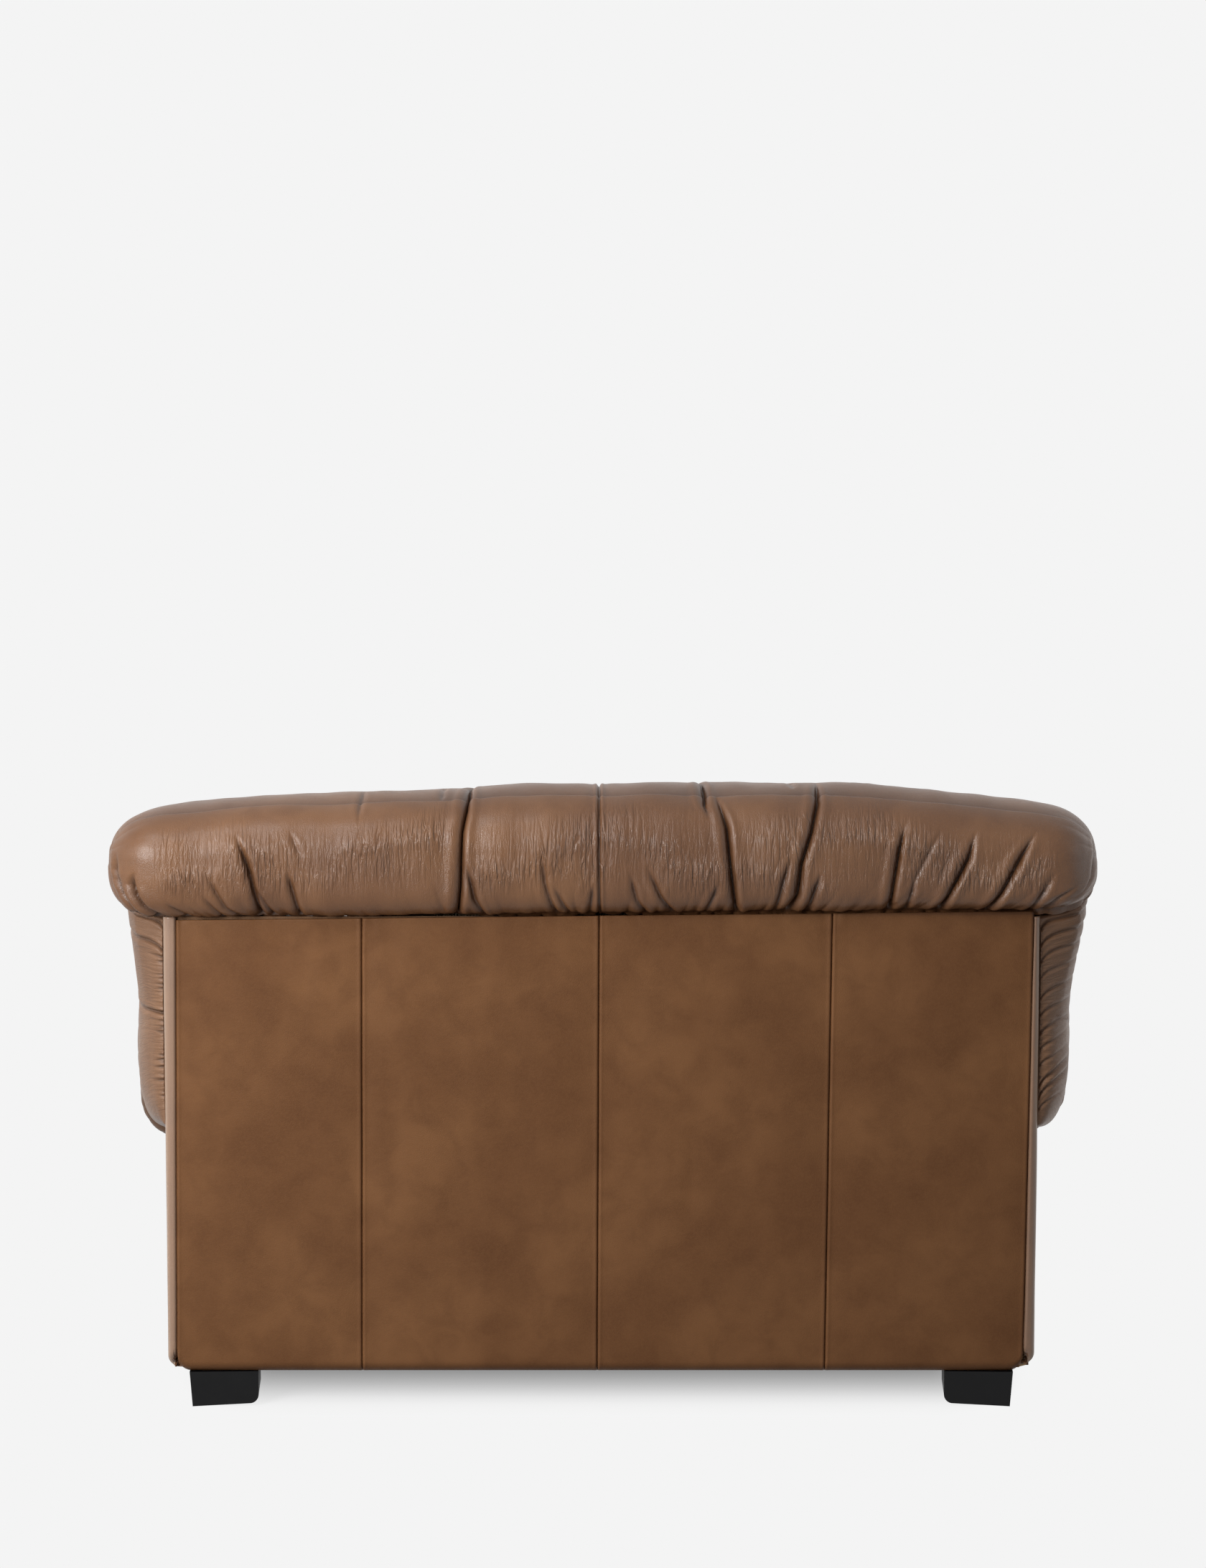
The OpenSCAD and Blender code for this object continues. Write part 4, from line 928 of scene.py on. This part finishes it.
def pad_section(u, a, side):
    """A pad's outer section at u from the outside back forwards and the angle a, from its lower edge outside
    (-90) over its widest line (0) and its top (90) to its lower edge inside (270): quarter superellipses about
    the side of the box below, and about the middle of the pad above. Under the roll it is squarer, and spreads
    upwards to the roll's end, by 14 mm on the sitter's left and 30 mm on the right. Its lower front is drawn in
    by 10 mm."""
    y = BACK_Y - u
    t = arm_t(u)
    k = clamp((u - PAD_START) / PAD_PUFF_L)
    out = lerp(30, 80, t ** 0.9) * np.sqrt(k * (2 - k)) - front_draw(u)
    low = lerp(320, 168, t) + front_draw(u)
    wide_z = lerp(440, 275, t)
    x_face, x_in = side_x(y, 0), side_x(y, lerp(196, 214, t) - front_draw(u))
    x_out = x_face + out
    x_mid, half = (x_out + x_in) / 2, (x_out - x_in) / 2
    ahead = smooth(ROLL_FRONT_U - 30, ROLL_FRONT_U + 90, u)
    c, s = np.cos(a), np.sin(a)
    m = lerp(2.9, 3.5, t)
    below = spow(np.maximum(c, 0), 2 / m), spow(np.maximum(-s, 0), 2 / m)
    n = lerp(16, PAD_N, ahead)
    across, rise = spow(np.maximum(c, 0), 2 / n), spow(np.maximum(s, 0), 2 / np.where(c > 0, n, PAD_N))
    level = clamp((lerp(wide_z, SEAM_Z, rise) - 405) / 150)
    spread = 14 * level ** 2.6 if side > 0 else 30 * level ** 1.8
    flare = spread * smooth(PAD_START, PAD_START + 26, u) * (1 - ahead) * across ** 2
    x_inside = x_mid - half * spow(np.maximum(-c, 0), 2 / PAD_N)
    x = np.where(a < 0, x_face + out * below[0], np.where(c > 0, x_mid + half * across + flare, x_inside))
    top = lerp(roll_under(np.clip(x, 0, ROLL_TIP)) - GAP, 592 - 22 * t, ahead) - front_draw(u)
    z_inside = PAD_MID_Z + np.where(s > 0, (top - PAD_MID_Z) * rise,
                                    (PAD_MID_Z - CUSHION_Z - GAP) * spow(s, 2 / PAD_N))
    z_outside = np.where(c > 0, wide_z + (top - wide_z) * rise, z_inside)
    z = np.where(a < 0, wide_z - (wide_z - low) * below[1], z_outside)
    x = x - 10 * smooth(180, 520, u) * smooth(345, 285, z) * np.where(c > 0, np.where(a < 0, below[0], 1), 0)
    return x, np.broadcast_to(y, x.shape), z


def pad_rings(u, shares, side):
    """Rings of a pad's outer section at the places u, at equal shares of each ring's length."""
    # the squarer quarter moves fast near its two ends, so angles crowd there
    crowd = np.arcsin(np.linspace(0.02, 0.98, 200) ** 8)
    fine = np.unique(np.concatenate([np.radians(np.linspace(-88, 268, 1200)), crowd, math.pi / 2 - crowd]))
    uu, aa = np.meshgrid(u, fine, indexing="ij")
    x, y, z = pad_section(uu, aa, side)
    length = np.cumsum(np.hypot(np.diff(x, prepend=x[:, :1]), np.diff(z, prepend=z[:, :1])), axis=1)
    a = np.stack([np.interp(shares * row[-1], row, fine) for row in length])
    uu = np.broadcast_to(u[:, None], a.shape)
    return np.stack(pad_section(uu, a, side), 2), a, length[:, -1:] * shares


# Long folds of each pad from its rear seam: height there, how far they climb outwards, depth, half-width, and how
# far along the leather they run
PAD_FOLDS = {
    1: [(541, 20, 3.2, 1.5, 90), (515, 20, 3.8, 1.6, 110), (508, 6, 2.0, 1.1, 28), (445, 4, 3.4, 1.5, 120),
        (425, 0, 2.0, 1.2, 26), (394, -2, 1.8, 1.1, 24), (371, -3, 2.4, 1.2, 28)],
    -1: [(536, 30, 3.2, 1.7, 90), (518, 30, 2.8, 1.6, 80), (500, 28, 2.2, 1.5, 70), (482, 26, 1.8, 1.4, 60),
         (459, 26, 2.2, 1.5, 64), (440, 24, 2.4, 1.5, 60), (420, 24, 2.6, 1.5, 60), (402, 24, 2.2, 1.4, 50),
         (384, 26, 2.0, 1.4, 46), (358, 40, 3.4, 1.6, 66), (345, 42, 3.0, 1.5, 60), (333, 30, 2.0, 1.3, 40)],
}


def pad_folds(side, along, z):
    """What the folds do to a pad at the height z and along the leather from its rear seam: (how far they push it
    out, how much shade is painted along their bottoms). The long folds climb outwards, and short, uneven ones
    stand between them."""
    folds = list(PAD_FOLDS[side])
    rng = np.random.default_rng(7 if side > 0 else 8)
    low, high, count = (352, 505, 26) if side > 0 else (332, 540, 16)
    for height in np.sort(rng.uniform(low, high, count)):
        folds.append((height, rng.uniform(-3, 4) if side > 0 else rng.uniform(6, 18), rng.uniform(0.5, 1.5),
                      rng.uniform(0.8, 1.3), rng.uniform(8, 26)))
    out, dark = np.zeros_like(z), np.zeros_like(z)
    climb = 1 - np.exp(-along / 42)
    for height, rise, depth, width, reach in folds:
        line = height + rise * climb + 2.5 * noise(along / 45, height / 7.0 + 0 * along, 75) * smooth(5, 60, along)
        fade = np.exp(-(along / reach) ** 2) * smooth(0, 1.5, along)
        out += 1.15 * depth * fade * furrow(z - line, 0.85 * width * (1 + along / 110))
        # painted shade along the bottom of each fold
        dark -= (3.0 + 1.6 * depth) * fade * bell(z - line, 0.8 + 0.2 * width)
    return out, dark


def turned(side, points, *grids):
    """Rings drawn for the sitter's left, or their mirror image in turned order, which keeps them facing out."""
    if side > 0:
        return points, *grids
    return points[::-1] * (-1, 1, 1), *(grid[::-1] for grid in grids)


def arm_pad(side):
    """A pad: a saddle over the arm's wall, its outer skin gathered lengthways along its rear and front seams. Its
    lining goes back up inside, round the wall of the arm and its foam."""
    rear = PAD_START + PAD_PUFF_L * (1 - np.cos(np.linspace(math.pi / 2, 0, 52)))
    u = np.concatenate([spaced((ARM_END, 1.6), (ARM_END - 50, 4.6), (260, 3.4), (rear[0], 1))[:-1], rear])
    shares = spaced((0, 0.0012), (0.36, 0.009), (1, 1))
    base, a, place = pad_rings(u, shares, side)
    u = u[:, None]
    uu = np.broadcast_to(u, a.shape)
    seed = 70 if side > 0 else 90
    turn = np.arccos(1 - clamp((uu - PAD_START) / PAD_PUFF_L))
    along = 45 * turn + 8 * np.sin(2 * turn) + np.maximum(0, uu - rear[0])
    to_front = ARM_END - uu
    on_side = 1 - smooth(1.2, 2.0, a)
    majors, lines = (grid * (1 - smooth(0.6, 1.35, a)) for grid in pad_folds(side, along, base[..., 2]))
    big = gathers(place / 36, uu / 190, seed, 0.5) * (0.7 * smooth(60, 150, along) + 2.4 * np.exp(-to_front / 80))
    fine = gathers(place / 13, uu / 46, seed + 4, 0.5)
    fine = fine * (0.12 * np.exp(-along / 30) + 0.9 * np.exp(-to_front / 30))
    swell = 2.0 * noise(uu / 150, place / 110, seed + 8) * smooth(0, 40, along)
    soft = gathers(place / 46, uu / 150, seed + 11, 0.5) * (0.5 + 1.6 * np.exp(-to_front / 70))
    fuller = -2.5 * bell(base[..., 2] - 420, 70) if side > 0 else 5 * bell(base[..., 2] - 370, 70)
    fuller = fuller * smooth(0, 40, along) * (a < 1.5)
    out = (big + fine) * on_side + soft * (1 - on_side) + swell
    out = (out + fuller) * (smooth(0, 7, along) * smooth(0, 6, to_front)) + majors * smooth(0, 6, to_front)
    points = base + normals(base) * out[..., None]

    # behind the seat only the skin outside the frame runs on to the back corner
    y = BACK_Y - u
    thin = y > POST_FRONT_Y - 2
    corner = u < ARM_START + 0.5
    edge = side_x(y, np.where(corner, -0.1, FRAME_OFF - GAP))
    step = np.cumsum(np.where(thin & (points[..., 0] < edge), 0.04, 0), axis=1)
    points[..., 0] = np.where(step > 0, edge, points[..., 0])
    points[..., 2] = np.where(step > 0, SEAM_Z - 0.5 - step, points[..., 2])

    # the lining's legs: under the inner edge, up the inside of the wall's foam, down its outside, and out again
    lift = np.minimum(tuck_z(y) + 0.6, SEAM_Z - 40)
    core, foot = ARM_RAIL_Z + 30.3, CUSHION_Z + 8.0
    outside = side_x(y, np.where(corner, -0.1, np.where(thin, FRAME_OFF - GAP, -6.3)))
    legs = ((side_x(y, INNER_OFF + 0.3), points[:, -1:, 2] + 1, foot, 4),
            (side_x(y, INNER_OFF + 60.3), foot, core, 6),
            (outside, core, lift, 6),
            (side_x(y, -0.4), lift, points[:, :1, 2] + 3, 4))
    under = []
    for px, low, high, count in legs:
        for share in np.linspace(0, 1, count):
            under.append(np.concatenate([px, y, np.broadcast_to(lerp(low, high, share), y.shape)], 1))
    under = np.stack(under, 1)
    thin_z = lerp(points[:, -1:, 2] - 1, lift, np.linspace(0, 1, 10)[None, :])
    under[:, :10, 0] = np.where(thin, outside, under[:, :10, 0])
    under[:, :10, 2] = np.where(thin, thin_z, under[:, :10, 2])
    under[:, 10:16, 2] = np.where(thin, lift - 0.04 * np.arange(6), under[:, 10:16, 2])
    points = np.concatenate([points, under], 1)
    spare = 30.0 * np.arange(1, under.shape[1] + 2)
    uv = pairs(u[:, 0], np.concatenate([np.median(place, axis=0), place.max() + spare]))
    # the fold mark: painted shade in the folds' bottoms, the gathers' hollows and at the front seam, and painted
    # highlight on the gathers' crowns
    fold = lines + 0.5 * majors + shaded(big + fine, 1.3, 0.5) * on_side - 2 * (1 - smooth(0, 4, to_front))
    fold = np.concatenate([fold, np.zeros(under.shape[:2])], 1)
    points, uv, fold = turned(side, points, uv, fold)
    saddle("arm_pad_cover_" + SIDE_NAME[side], points, under.shape[1], uv, {"fold": fold}, material=arm_leather,
           replaced=("arm_pad_" + SIDE_NAME[side],), fill=0.75)


def arm_front(side):
    """The puffed facing on the front of an arm: its outline drawn in to the middle over a rounded crown, and back
    round a fuller edge to the seam where it meets the pad."""
    ring, a, place = pad_rings(np.array([float(BOX_D)]), np.linspace(0, 1, 421), side)
    centre_x, centre_z = side_x(BORDER_Y, 67), 390.0
    vx, vz = ring[0, :, 0] - centre_x, ring[0, :, 2] - centre_z
    reach = np.hypot(vx, vz)
    turn, back = np.linspace(0.02, math.pi / 2, 56), np.linspace(0, math.pi / 2, 12)[1:]
    share = np.concatenate([np.sin(turn) ** (2 / FRONT_N), np.ones(len(back))])[:, None]
    extra = np.concatenate([22 * np.sin(turn) ** 8, 22 - 15 * (1 - np.cos(back))])[:, None]
    fuller = (22 * bell(ring[0, :, 2] - 238, 54) if side > 0 else 27 * bell(ring[0, :, 2] - 252, 44)) - 5
    extra = extra + np.where(a[0] < 1, fuller, 0) * np.sin(share * math.pi / 2)
    ahead = np.concatenate([17 + 40.6 * np.cos(turn) ** (2 / FRONT_N), 17 * (1 - np.sin(back))])[:, None]
    d = reach * share + extra
    rim = np.exp(-ahead / 9) + 0.25 * np.exp(-(1 - share) * reach / 30)
    length = np.broadcast_to(place[0], d.shape)
    pucker = gathers(length / 19, ahead / 40, 33 if side > 0 else 35, 0.5) * 1.5 * rim * smooth(0, 3, ahead)
    swell = 2.2 * noise(vx * share / 90, vz * share / 90, 37) + 0.8 * noise(vx * share / 35, vz * share / 35, 38)
    lift = (pucker + swell) * smooth(0, 14, ahead)
    steep = clamp((share - 0.55) / 0.4)
    px = centre_x + vx / reach * (d + lift * steep)
    pz = centre_z + vz / reach * (d + lift * steep)
    py = BORDER_Y - GAP - ahead - lift * (1 - steep)
    points = np.stack([px, py, np.maximum(pz, 152)], 2)
    uv = pairs(running(ahead[:, 0], share[:, 0] * 150), np.append(place[0], place[0, -1] + 40))
    # the fold mark: painted shade in the puckers' hollows and at the seam with the pad, and painted highlight on
    # the puckers' crowns and on a band round the rim
    fold = shaded(pucker, 1.3, 0.5) - 6.0 * np.exp(-ahead / 2.5)
    fold = fold + 2.2 * smooth(4, 8, ahead) * (1 - smooth(18, 30, ahead))
    points, uv, fold = turned(side, points, uv, fold)
    tube("arm_front_cover_" + SIDE_NAME[side], points, uv, {"fold": fold}, material=arm_leather,
         replaced=("arm_front_" + SIDE_NAME[side],), fill=0.8)


# Seat and inside back

def seat_half(y):
    """Half-width of the seat cushion at y, between the pads."""
    return side_x(y, lerp(196, 214, arm_t(BACK_Y - y))) - 4


def grid_points(mesh):
    """A mesh's points in millimetres."""
    flat = np.empty(3 * len(mesh.vertices), np.float32)
    mesh.vertices.foreach_get("co", flat)
    return flat.reshape(-1, 3).astype(float) / MM


def filled(name, rings, held, sewn, cap):
    """A cushion blown up by cloth simulation: the closed skin over rings is cut into an even grid, held stays
    where it is, the lines in sewn shrink, and the air inside pushes the rest out, by cap at the most. Gives the
    points before and after, with one subdivision, their outward directions, and the faces."""
    scene = bpy.context.scene
    rows, cols = rings.shape[:2]
    faces, _ = quads(rows, cols, True)
    ends = [list(range(cols)), list(range((rows - 1) * cols, rows * cols))[::-1]]
    mesh = bpy.data.meshes.new(name)
    mesh.from_pydata((rings.reshape(-1, 3) * MM).tolist(), [], faces.tolist() + ends)
    thing = bpy.data.objects.new(name, mesh)
    scene.collection.objects.link(thing)

    def evaluated():
        return thing.evaluated_get(bpy.context.evaluated_depsgraph_get())

    def shaped(kind, **settings):
        change = thing.modifiers.new(kind, kind)
        for key, value in settings.items():
            setattr(change, key, value)
        made = bpy.data.meshes.new_from_object(evaluated())
        thing.modifiers.remove(change)
        return made

    thing.data = shaped("REMESH", mode="VOXEL", voxel_size=VOXEL * MM)
    start = grid_points(thing.data)
    moved = np.zeros_like(start)
    for group, where in (("held", held(start)), ("sewn", sewn(start))):
        thing.vertex_groups.new(name=group).add(np.flatnonzero(where).tolist(), 1.0, "REPLACE")
    change = thing.modifiers.new("air", "CLOTH")
    change.settings.effector_weights.gravity = 0
    for key, value in AIR.items():
        setattr(change.settings, key, value)
    change.collision_settings.use_collision = False
    change.point_cache.frame_end = AIR_FRAMES
    for step in range(1, AIR_FRAMES + 1):
        scene.frame_set(step)
    moved = grid_points(evaluated().data) - start
    thing.modifiers.remove(change)
    scene.frame_set(1)
    moved *= np.minimum(1, cap / np.maximum(np.linalg.norm(moved, axis=1, keepdims=True), 1e-6))
    before = shaped("SUBSURF", levels=1, render_levels=1)
    thing.data.vertices.foreach_set("co", ((start + moved) * MM).astype(np.float32).ravel())
    after = shaped("SUBSURF", levels=1, render_levels=1)
    corners = np.empty(len(after.loops), np.int32)
    after.loops.foreach_get("vertex_index", corners)
    toward = np.empty(3 * len(after.vertices), np.float32)
    after.vertex_normals.foreach_get("vector", toward)
    grids = grid_points(before), grid_points(after), toward.reshape(-1, 3), corners.reshape(-1, 4)
    bpy.data.objects.remove(thing)
    return grids


def cushion(node, points, faces, half, depth, height, down, fold, pull, fill):
    """A cushion's cover, held inside the space between half, -half and the limits of depth and height. Its UV runs
    down the front, or up it where down is -1."""
    points[:, 0] = np.clip(points[:, 0], -half, half)
    points[:, 1] = np.clip(points[:, 1], *depth)
    points[:, 2] = np.clip(points[:, 2], *height)
    uv = np.stack([points[:, 0], down * (points[:, 1] - points[:, 2])], 1)
    finish_mesh(node + "_cover", points, faces.tolist(), faces.ravel(), uv, {"fold": fold, "pull": pull},
                seat_leather, replaced=(node,), fill=fill)


def seat_cushion():
    """The seat cushion: rings from its underside out to its border and in over its crown, with square-round
    corners, filled by cloth simulation, then a rolled seam at the top and the bottom of the border, with puckers
    beside it."""
    turn = np.linspace(0, 1, 30)[1:]
    fill = np.concatenate([[0.1, 0.5, 0.9], np.full(20, 0.982), 0.982 * (1 - 0.97 * turn ** 1.15)])
    height = np.concatenate([[0, 0, 0], np.linspace(0, 1, 20), np.ones(29)])
    crown = np.concatenate([np.zeros(23), 1 - (1 - turn) ** 2.6])
    a = -np.linspace(0, 2 * math.pi, 241)[:-1]
    c, s = spow(np.cos(a), 0.24), spow(np.sin(a), 0.24)
    f, cc = np.meshgrid(fill, c, indexing="ij")
    middle_y, half_d = (CUSHION_BACK_Y + CUSHION_FRONT_Y) / 2, (CUSHION_BACK_Y - CUSHION_FRONT_Y) / 2
    y = middle_y + half_d * s[None, :] * f
    x = seat_half(y) * cc * f
    floor = CUSHION_Z + 1
    z = floor + height[:, None] * CUSHION_EDGE_T + crown[:, None] * (CUSHION_T - CUSHION_EDGE_T - 20) + 0 * x

    def border(p):
        across = np.abs(p[:, 0]) / seat_half(p[:, 1])
        return np.maximum(across, np.abs(p[:, 1] - middle_y) / half_d) > 0.93

    def seam_off(p):
        return np.minimum(np.abs(p[:, 2] - floor - 5), np.abs(p[:, 2] - floor - CUSHION_EDGE_T + 5))

    start, end, toward, faces = filled("seat_fill", np.stack([x, y, z], 2), lambda p: p[:, 2] < floor + 2,
                                       lambda p: border(p) & (seam_off(p) < 7), 26)
    # where the simulation draws the border in towards the middle, most of it is taken back
    middle = (0, SEAT_MID_Y, 0)
    drawn = np.abs(end - middle) < np.abs(start - middle)
    end[:, :2] = np.where(drawn & border(start)[:, None], lerp(start, end, 0.3), end)[:, :2]
    x, y = start[:, 0], start[:, 1]
    place = np.arctan2(y - SEAT_MID_Y, x) * 330
    h = (start[:, 2] - floor) / CUSHION_EDGE_T
    on_wall = border(start) & (h < 1.02)
    off = seam_off(start)
    seams = np.where(on_wall, bell(off, 4.0), 0)
    near = np.exp(-off / 16) * border(start)
    top = smooth(1.0, 1.2, h)
    out = -3.0 * seams + 1.0 * near * gathers(place / 26, h * 2, 103) * (1 - seams)
    out = out + top * (1.6 * noise(x / 130, y / 160, 107) + 0.7 * noise(x / 42, y / 60, 109))
    points = end + toward * out[:, None]
    # the fold mark: painted shade in the seam lines round the border and in the hollows
    fold = -4.5 * np.where(on_wall, bell(off, 3.0), 0) + np.minimum(out, 0) * 0.5
    cushion("seat_cushion", points, faces, seat_half(points[:, 1]) + 1, (CUSHION_FRONT_Y - 5, CUSHION_BACK_Y),
            (floor - 0.5, CUSHION_Z + CUSHION_T + 2), 1, fold, 0.4 * top, 0.85)


def back_cushion():
    """The inside back: a pad with a flat back, filled by cloth simulation in front, gathered into the seams above
    and below and drawn in along a seam down its middle."""
    half = seat_half(POST_FRONT_Y) - 2
    line = half * np.sin(np.linspace(-1, 1, 160) * math.pi / 2)[::-1]
    x, fz = np.meshgrid(line, 0.5 + 0.5 * np.sin(np.linspace(-1, 1, 70) * math.pi / 2), indexing="ij")
    low, high = CUSHION_Z + 3, SEAM_Z - 1.0
    rear = BACK_PAD_Y - GAP
    deep = (BACK_PAD_T - 22 - BACK_LEAN * fz * fz) * bow(x / half, 6) * bow(2 * fz - 1, 5)
    front = np.stack([x, rear - np.maximum(8, deep), lerp(low, high, fz)], 2)[:, ::-1]
    flat = [np.stack([line, np.full_like(line, rear), np.full_like(line, h)], 1) for h in (low, 400.0, high)]
    start, end, toward, faces = filled("back_fill", np.concatenate([np.stack(flat, 1), front], 1),
                                       lambda p: p[:, 1] > BACK_PAD_Y - 16,
                                       lambda p: (np.abs(p[:, 0]) < 6) | (p[:, 2] > high - 10), 24)
    x, fz = start[:, 0], (start[:, 2] - low) / (high - low)
    in_front = smooth(6, 30, BACK_PAD_Y - start[:, 1])
    ends = smooth(0.62, 1, fz) + 0.4 * smooth(0.45, 0, fz)
    ruche = gathers(x / 31, fz * 1.2, 121, 0.5) * 2.6 * ends * (1 - clamp(x / half) ** 4)
    ruche = ruche + gathers(x / 15, fz * 5, 125) * smooth(0.75, 1, fz)
    seam = -6.0 * np.exp(-np.abs(x) / 9) - 3.0 * bell(x, 4)
    points = end + toward * ((ruche + seam + 1.6 * noise(x / 130, fz * 2, 127)) * in_front)[:, None]
    # the fold mark: painted shade in the gathers' hollows and down the middle seam, and painted highlight on the
    # gathers' crowns
    fold = (shaded(ruche, 1.2, 0.4) + seam * 0.8) * in_front
    cushion("back_cushion", points, faces, half + 1, (BACK_PAD_Y - BACK_PAD_T - 4, rear), (CUSHION_Z + 1, SEAM_Z),
            -1, fold, 0.3 * in_front, 0.8)


def front_border():
    """The flat leather across the front under the seat cushion, turned under the box."""
    out, z = hem_profile(BORDER_H, HEM_W)
    half = side_x(BORDER_Y + CORNER_R, CORNER_R)
    x = np.linspace(-half, half, 140)[None, :] * np.ones((len(z), 1))
    z, out = (v[:, None] * np.ones_like(x) for v in (z, out))
    d = half - np.abs(x)
    ripple = (0.8 * noise(x / 70, z / 60, 131) + 0.3 * noise(x / 19, z / 30, 133)) * smooth(FOOT_H, FOOT_H + 25, z)
    outer = np.stack([x, BORDER_Y - out - (seam_edge(d) + ripple), z], 2)
    base = np.stack([x, BORDER_Y - out, z], 2)
    inner = base - normals(base) * (LEATHER_T - GAP)
    # the fold mark paints shade along the border's two ends
    sheet_solid("front_border_leather", outer, inner, np.stack([x, z], 2), {"fold": -3.0 * bell(d, 1.2)},
                material=panel_leather, replaced=("front_border",))


# Floor, light and camera

def seen_directly(p):
    """1 for rays from the camera and for mirrored or refracted ones, 0 for the light that rays gather."""
    path = p.node("LightPath")
    camera, glossy, glass = (Socket(p, path.outputs[kind]) for kind in
                             ("Is Camera Ray", "Is Glossy Ray", "Is Transmission Ray"))
    return camera.math("MAXIMUM", glossy).math("MAXIMUM", glass)


def look(thing, aim):
    """Turns a lamp or a camera towards a place."""
    way = Vector(aim) - Vector(thing.location)
    thing.rotation_euler = way.to_track_quat("-Z", "Y").to_euler()


def studio():
    """A pale floor, grey under the chair and fading into an even background, and five lamps: the key light and one
    above it, high on the sitter's left and behind, weak ones from both sides, and one for the front, which shows
    in no glossy leather."""
    mesh = bpy.data.meshes.new("floor")
    ring = np.linspace(0, 2 * math.pi, 65)[:-1]
    mesh.from_pydata([(FLOOR_R * math.cos(a), FLOOR_R * math.sin(a), 0) for a in ring], [], [list(range(64))])
    floor = bpy.data.objects.new("floor", mesh)
    bpy.context.scene.collection.objects.link(floor)
    background = srgb(244, 244, 244)
    p = Paint("pale_floor")
    seen = seen_directly(p)
    bounce, matte = (p.get("BsdfDiffuse", {}, {"Color": (tone, tone, tone, 1)})
                     for tone in (FLOOR_BOUNCE, FLOOR_TONE))
    glow = p.get("Emission", {}, {"Color": (*background, 1), "Strength": 1.0})
    reach = p.get("VectorMath", {"operation": "ABSOLUTE"}, {0: p.place()})
    for operation, value in (("SUBTRACT", FLOOR_PATCH), ("MAXIMUM", (0.0, 0.0, 0.0)), ("MULTIPLY", FLOOR_FADE)):
        reach = p.get("VectorMath", {"operation": operation}, {0: reach, 1: value})
    apart = p.get("VectorMath", {"operation": "LENGTH"}, {0: reach}, output=1)
    lit = p.get("MixShader", {}, {0: (1 - apart.above(0.0, 1.0)) * FLOOR_SHADE, 1: glow, 2: matte})
    p.node("OutputMaterial", {}, {0: p.get("MixShader", {}, {0: seen, 1: bounce, 2: lit})})
    mesh.materials.append(p.owner)

    world = bpy.data.worlds.new("studio")
    bpy.context.scene.world = world
    p = Paint("studio", world)
    level = p.mix(seen_directly(p), (AMBIENT, AMBIENT, AMBIENT), background)
    p.node("OutputWorld", {}, {0: p.get("Background", {}, {0: level, 1: 1.0})})

    for name, place, aim, width, power in LAMPS:
        light = bpy.data.lights.new(name, "AREA")
        light.shape = "SQUARE"
        light.size = width
        light.energy = power
        lamp = bpy.data.objects.new(name, light)
        lamp.location = place
        look(lamp, aim)
        lamp.visible_glossy = name != "front"
        bpy.context.scene.collection.objects.link(lamp)


def photo_camera():
    """The picture's view: from behind, 4.2 m from the outside back at 1.05 m, looking down 6.5 degrees."""
    data = bpy.data.cameras.new("picture")
    data.sensor_width = 36
    data.lens = 87.72
    data.shift_x = 0.0011
    data.shift_y = 0.0753
    camera = bpy.data.objects.new("picture", data)
    camera.location = (0, 4.626, 1.05)
    camera.rotation_euler = (math.radians(90 - 6.5), 0, math.pi)
    bpy.context.scene.collection.objects.link(camera)
    bpy.context.scene.camera = camera


bpy.context.scene.view_settings.view_transform = "Standard"
photo_camera()
studio()
dress_nodes()
back_roll()
outside_back()
for side in (1, -1):
    side_panel(side)
    arm_pad(side)
    arm_front(side)
seat_cushion()
back_cushion()
front_border()
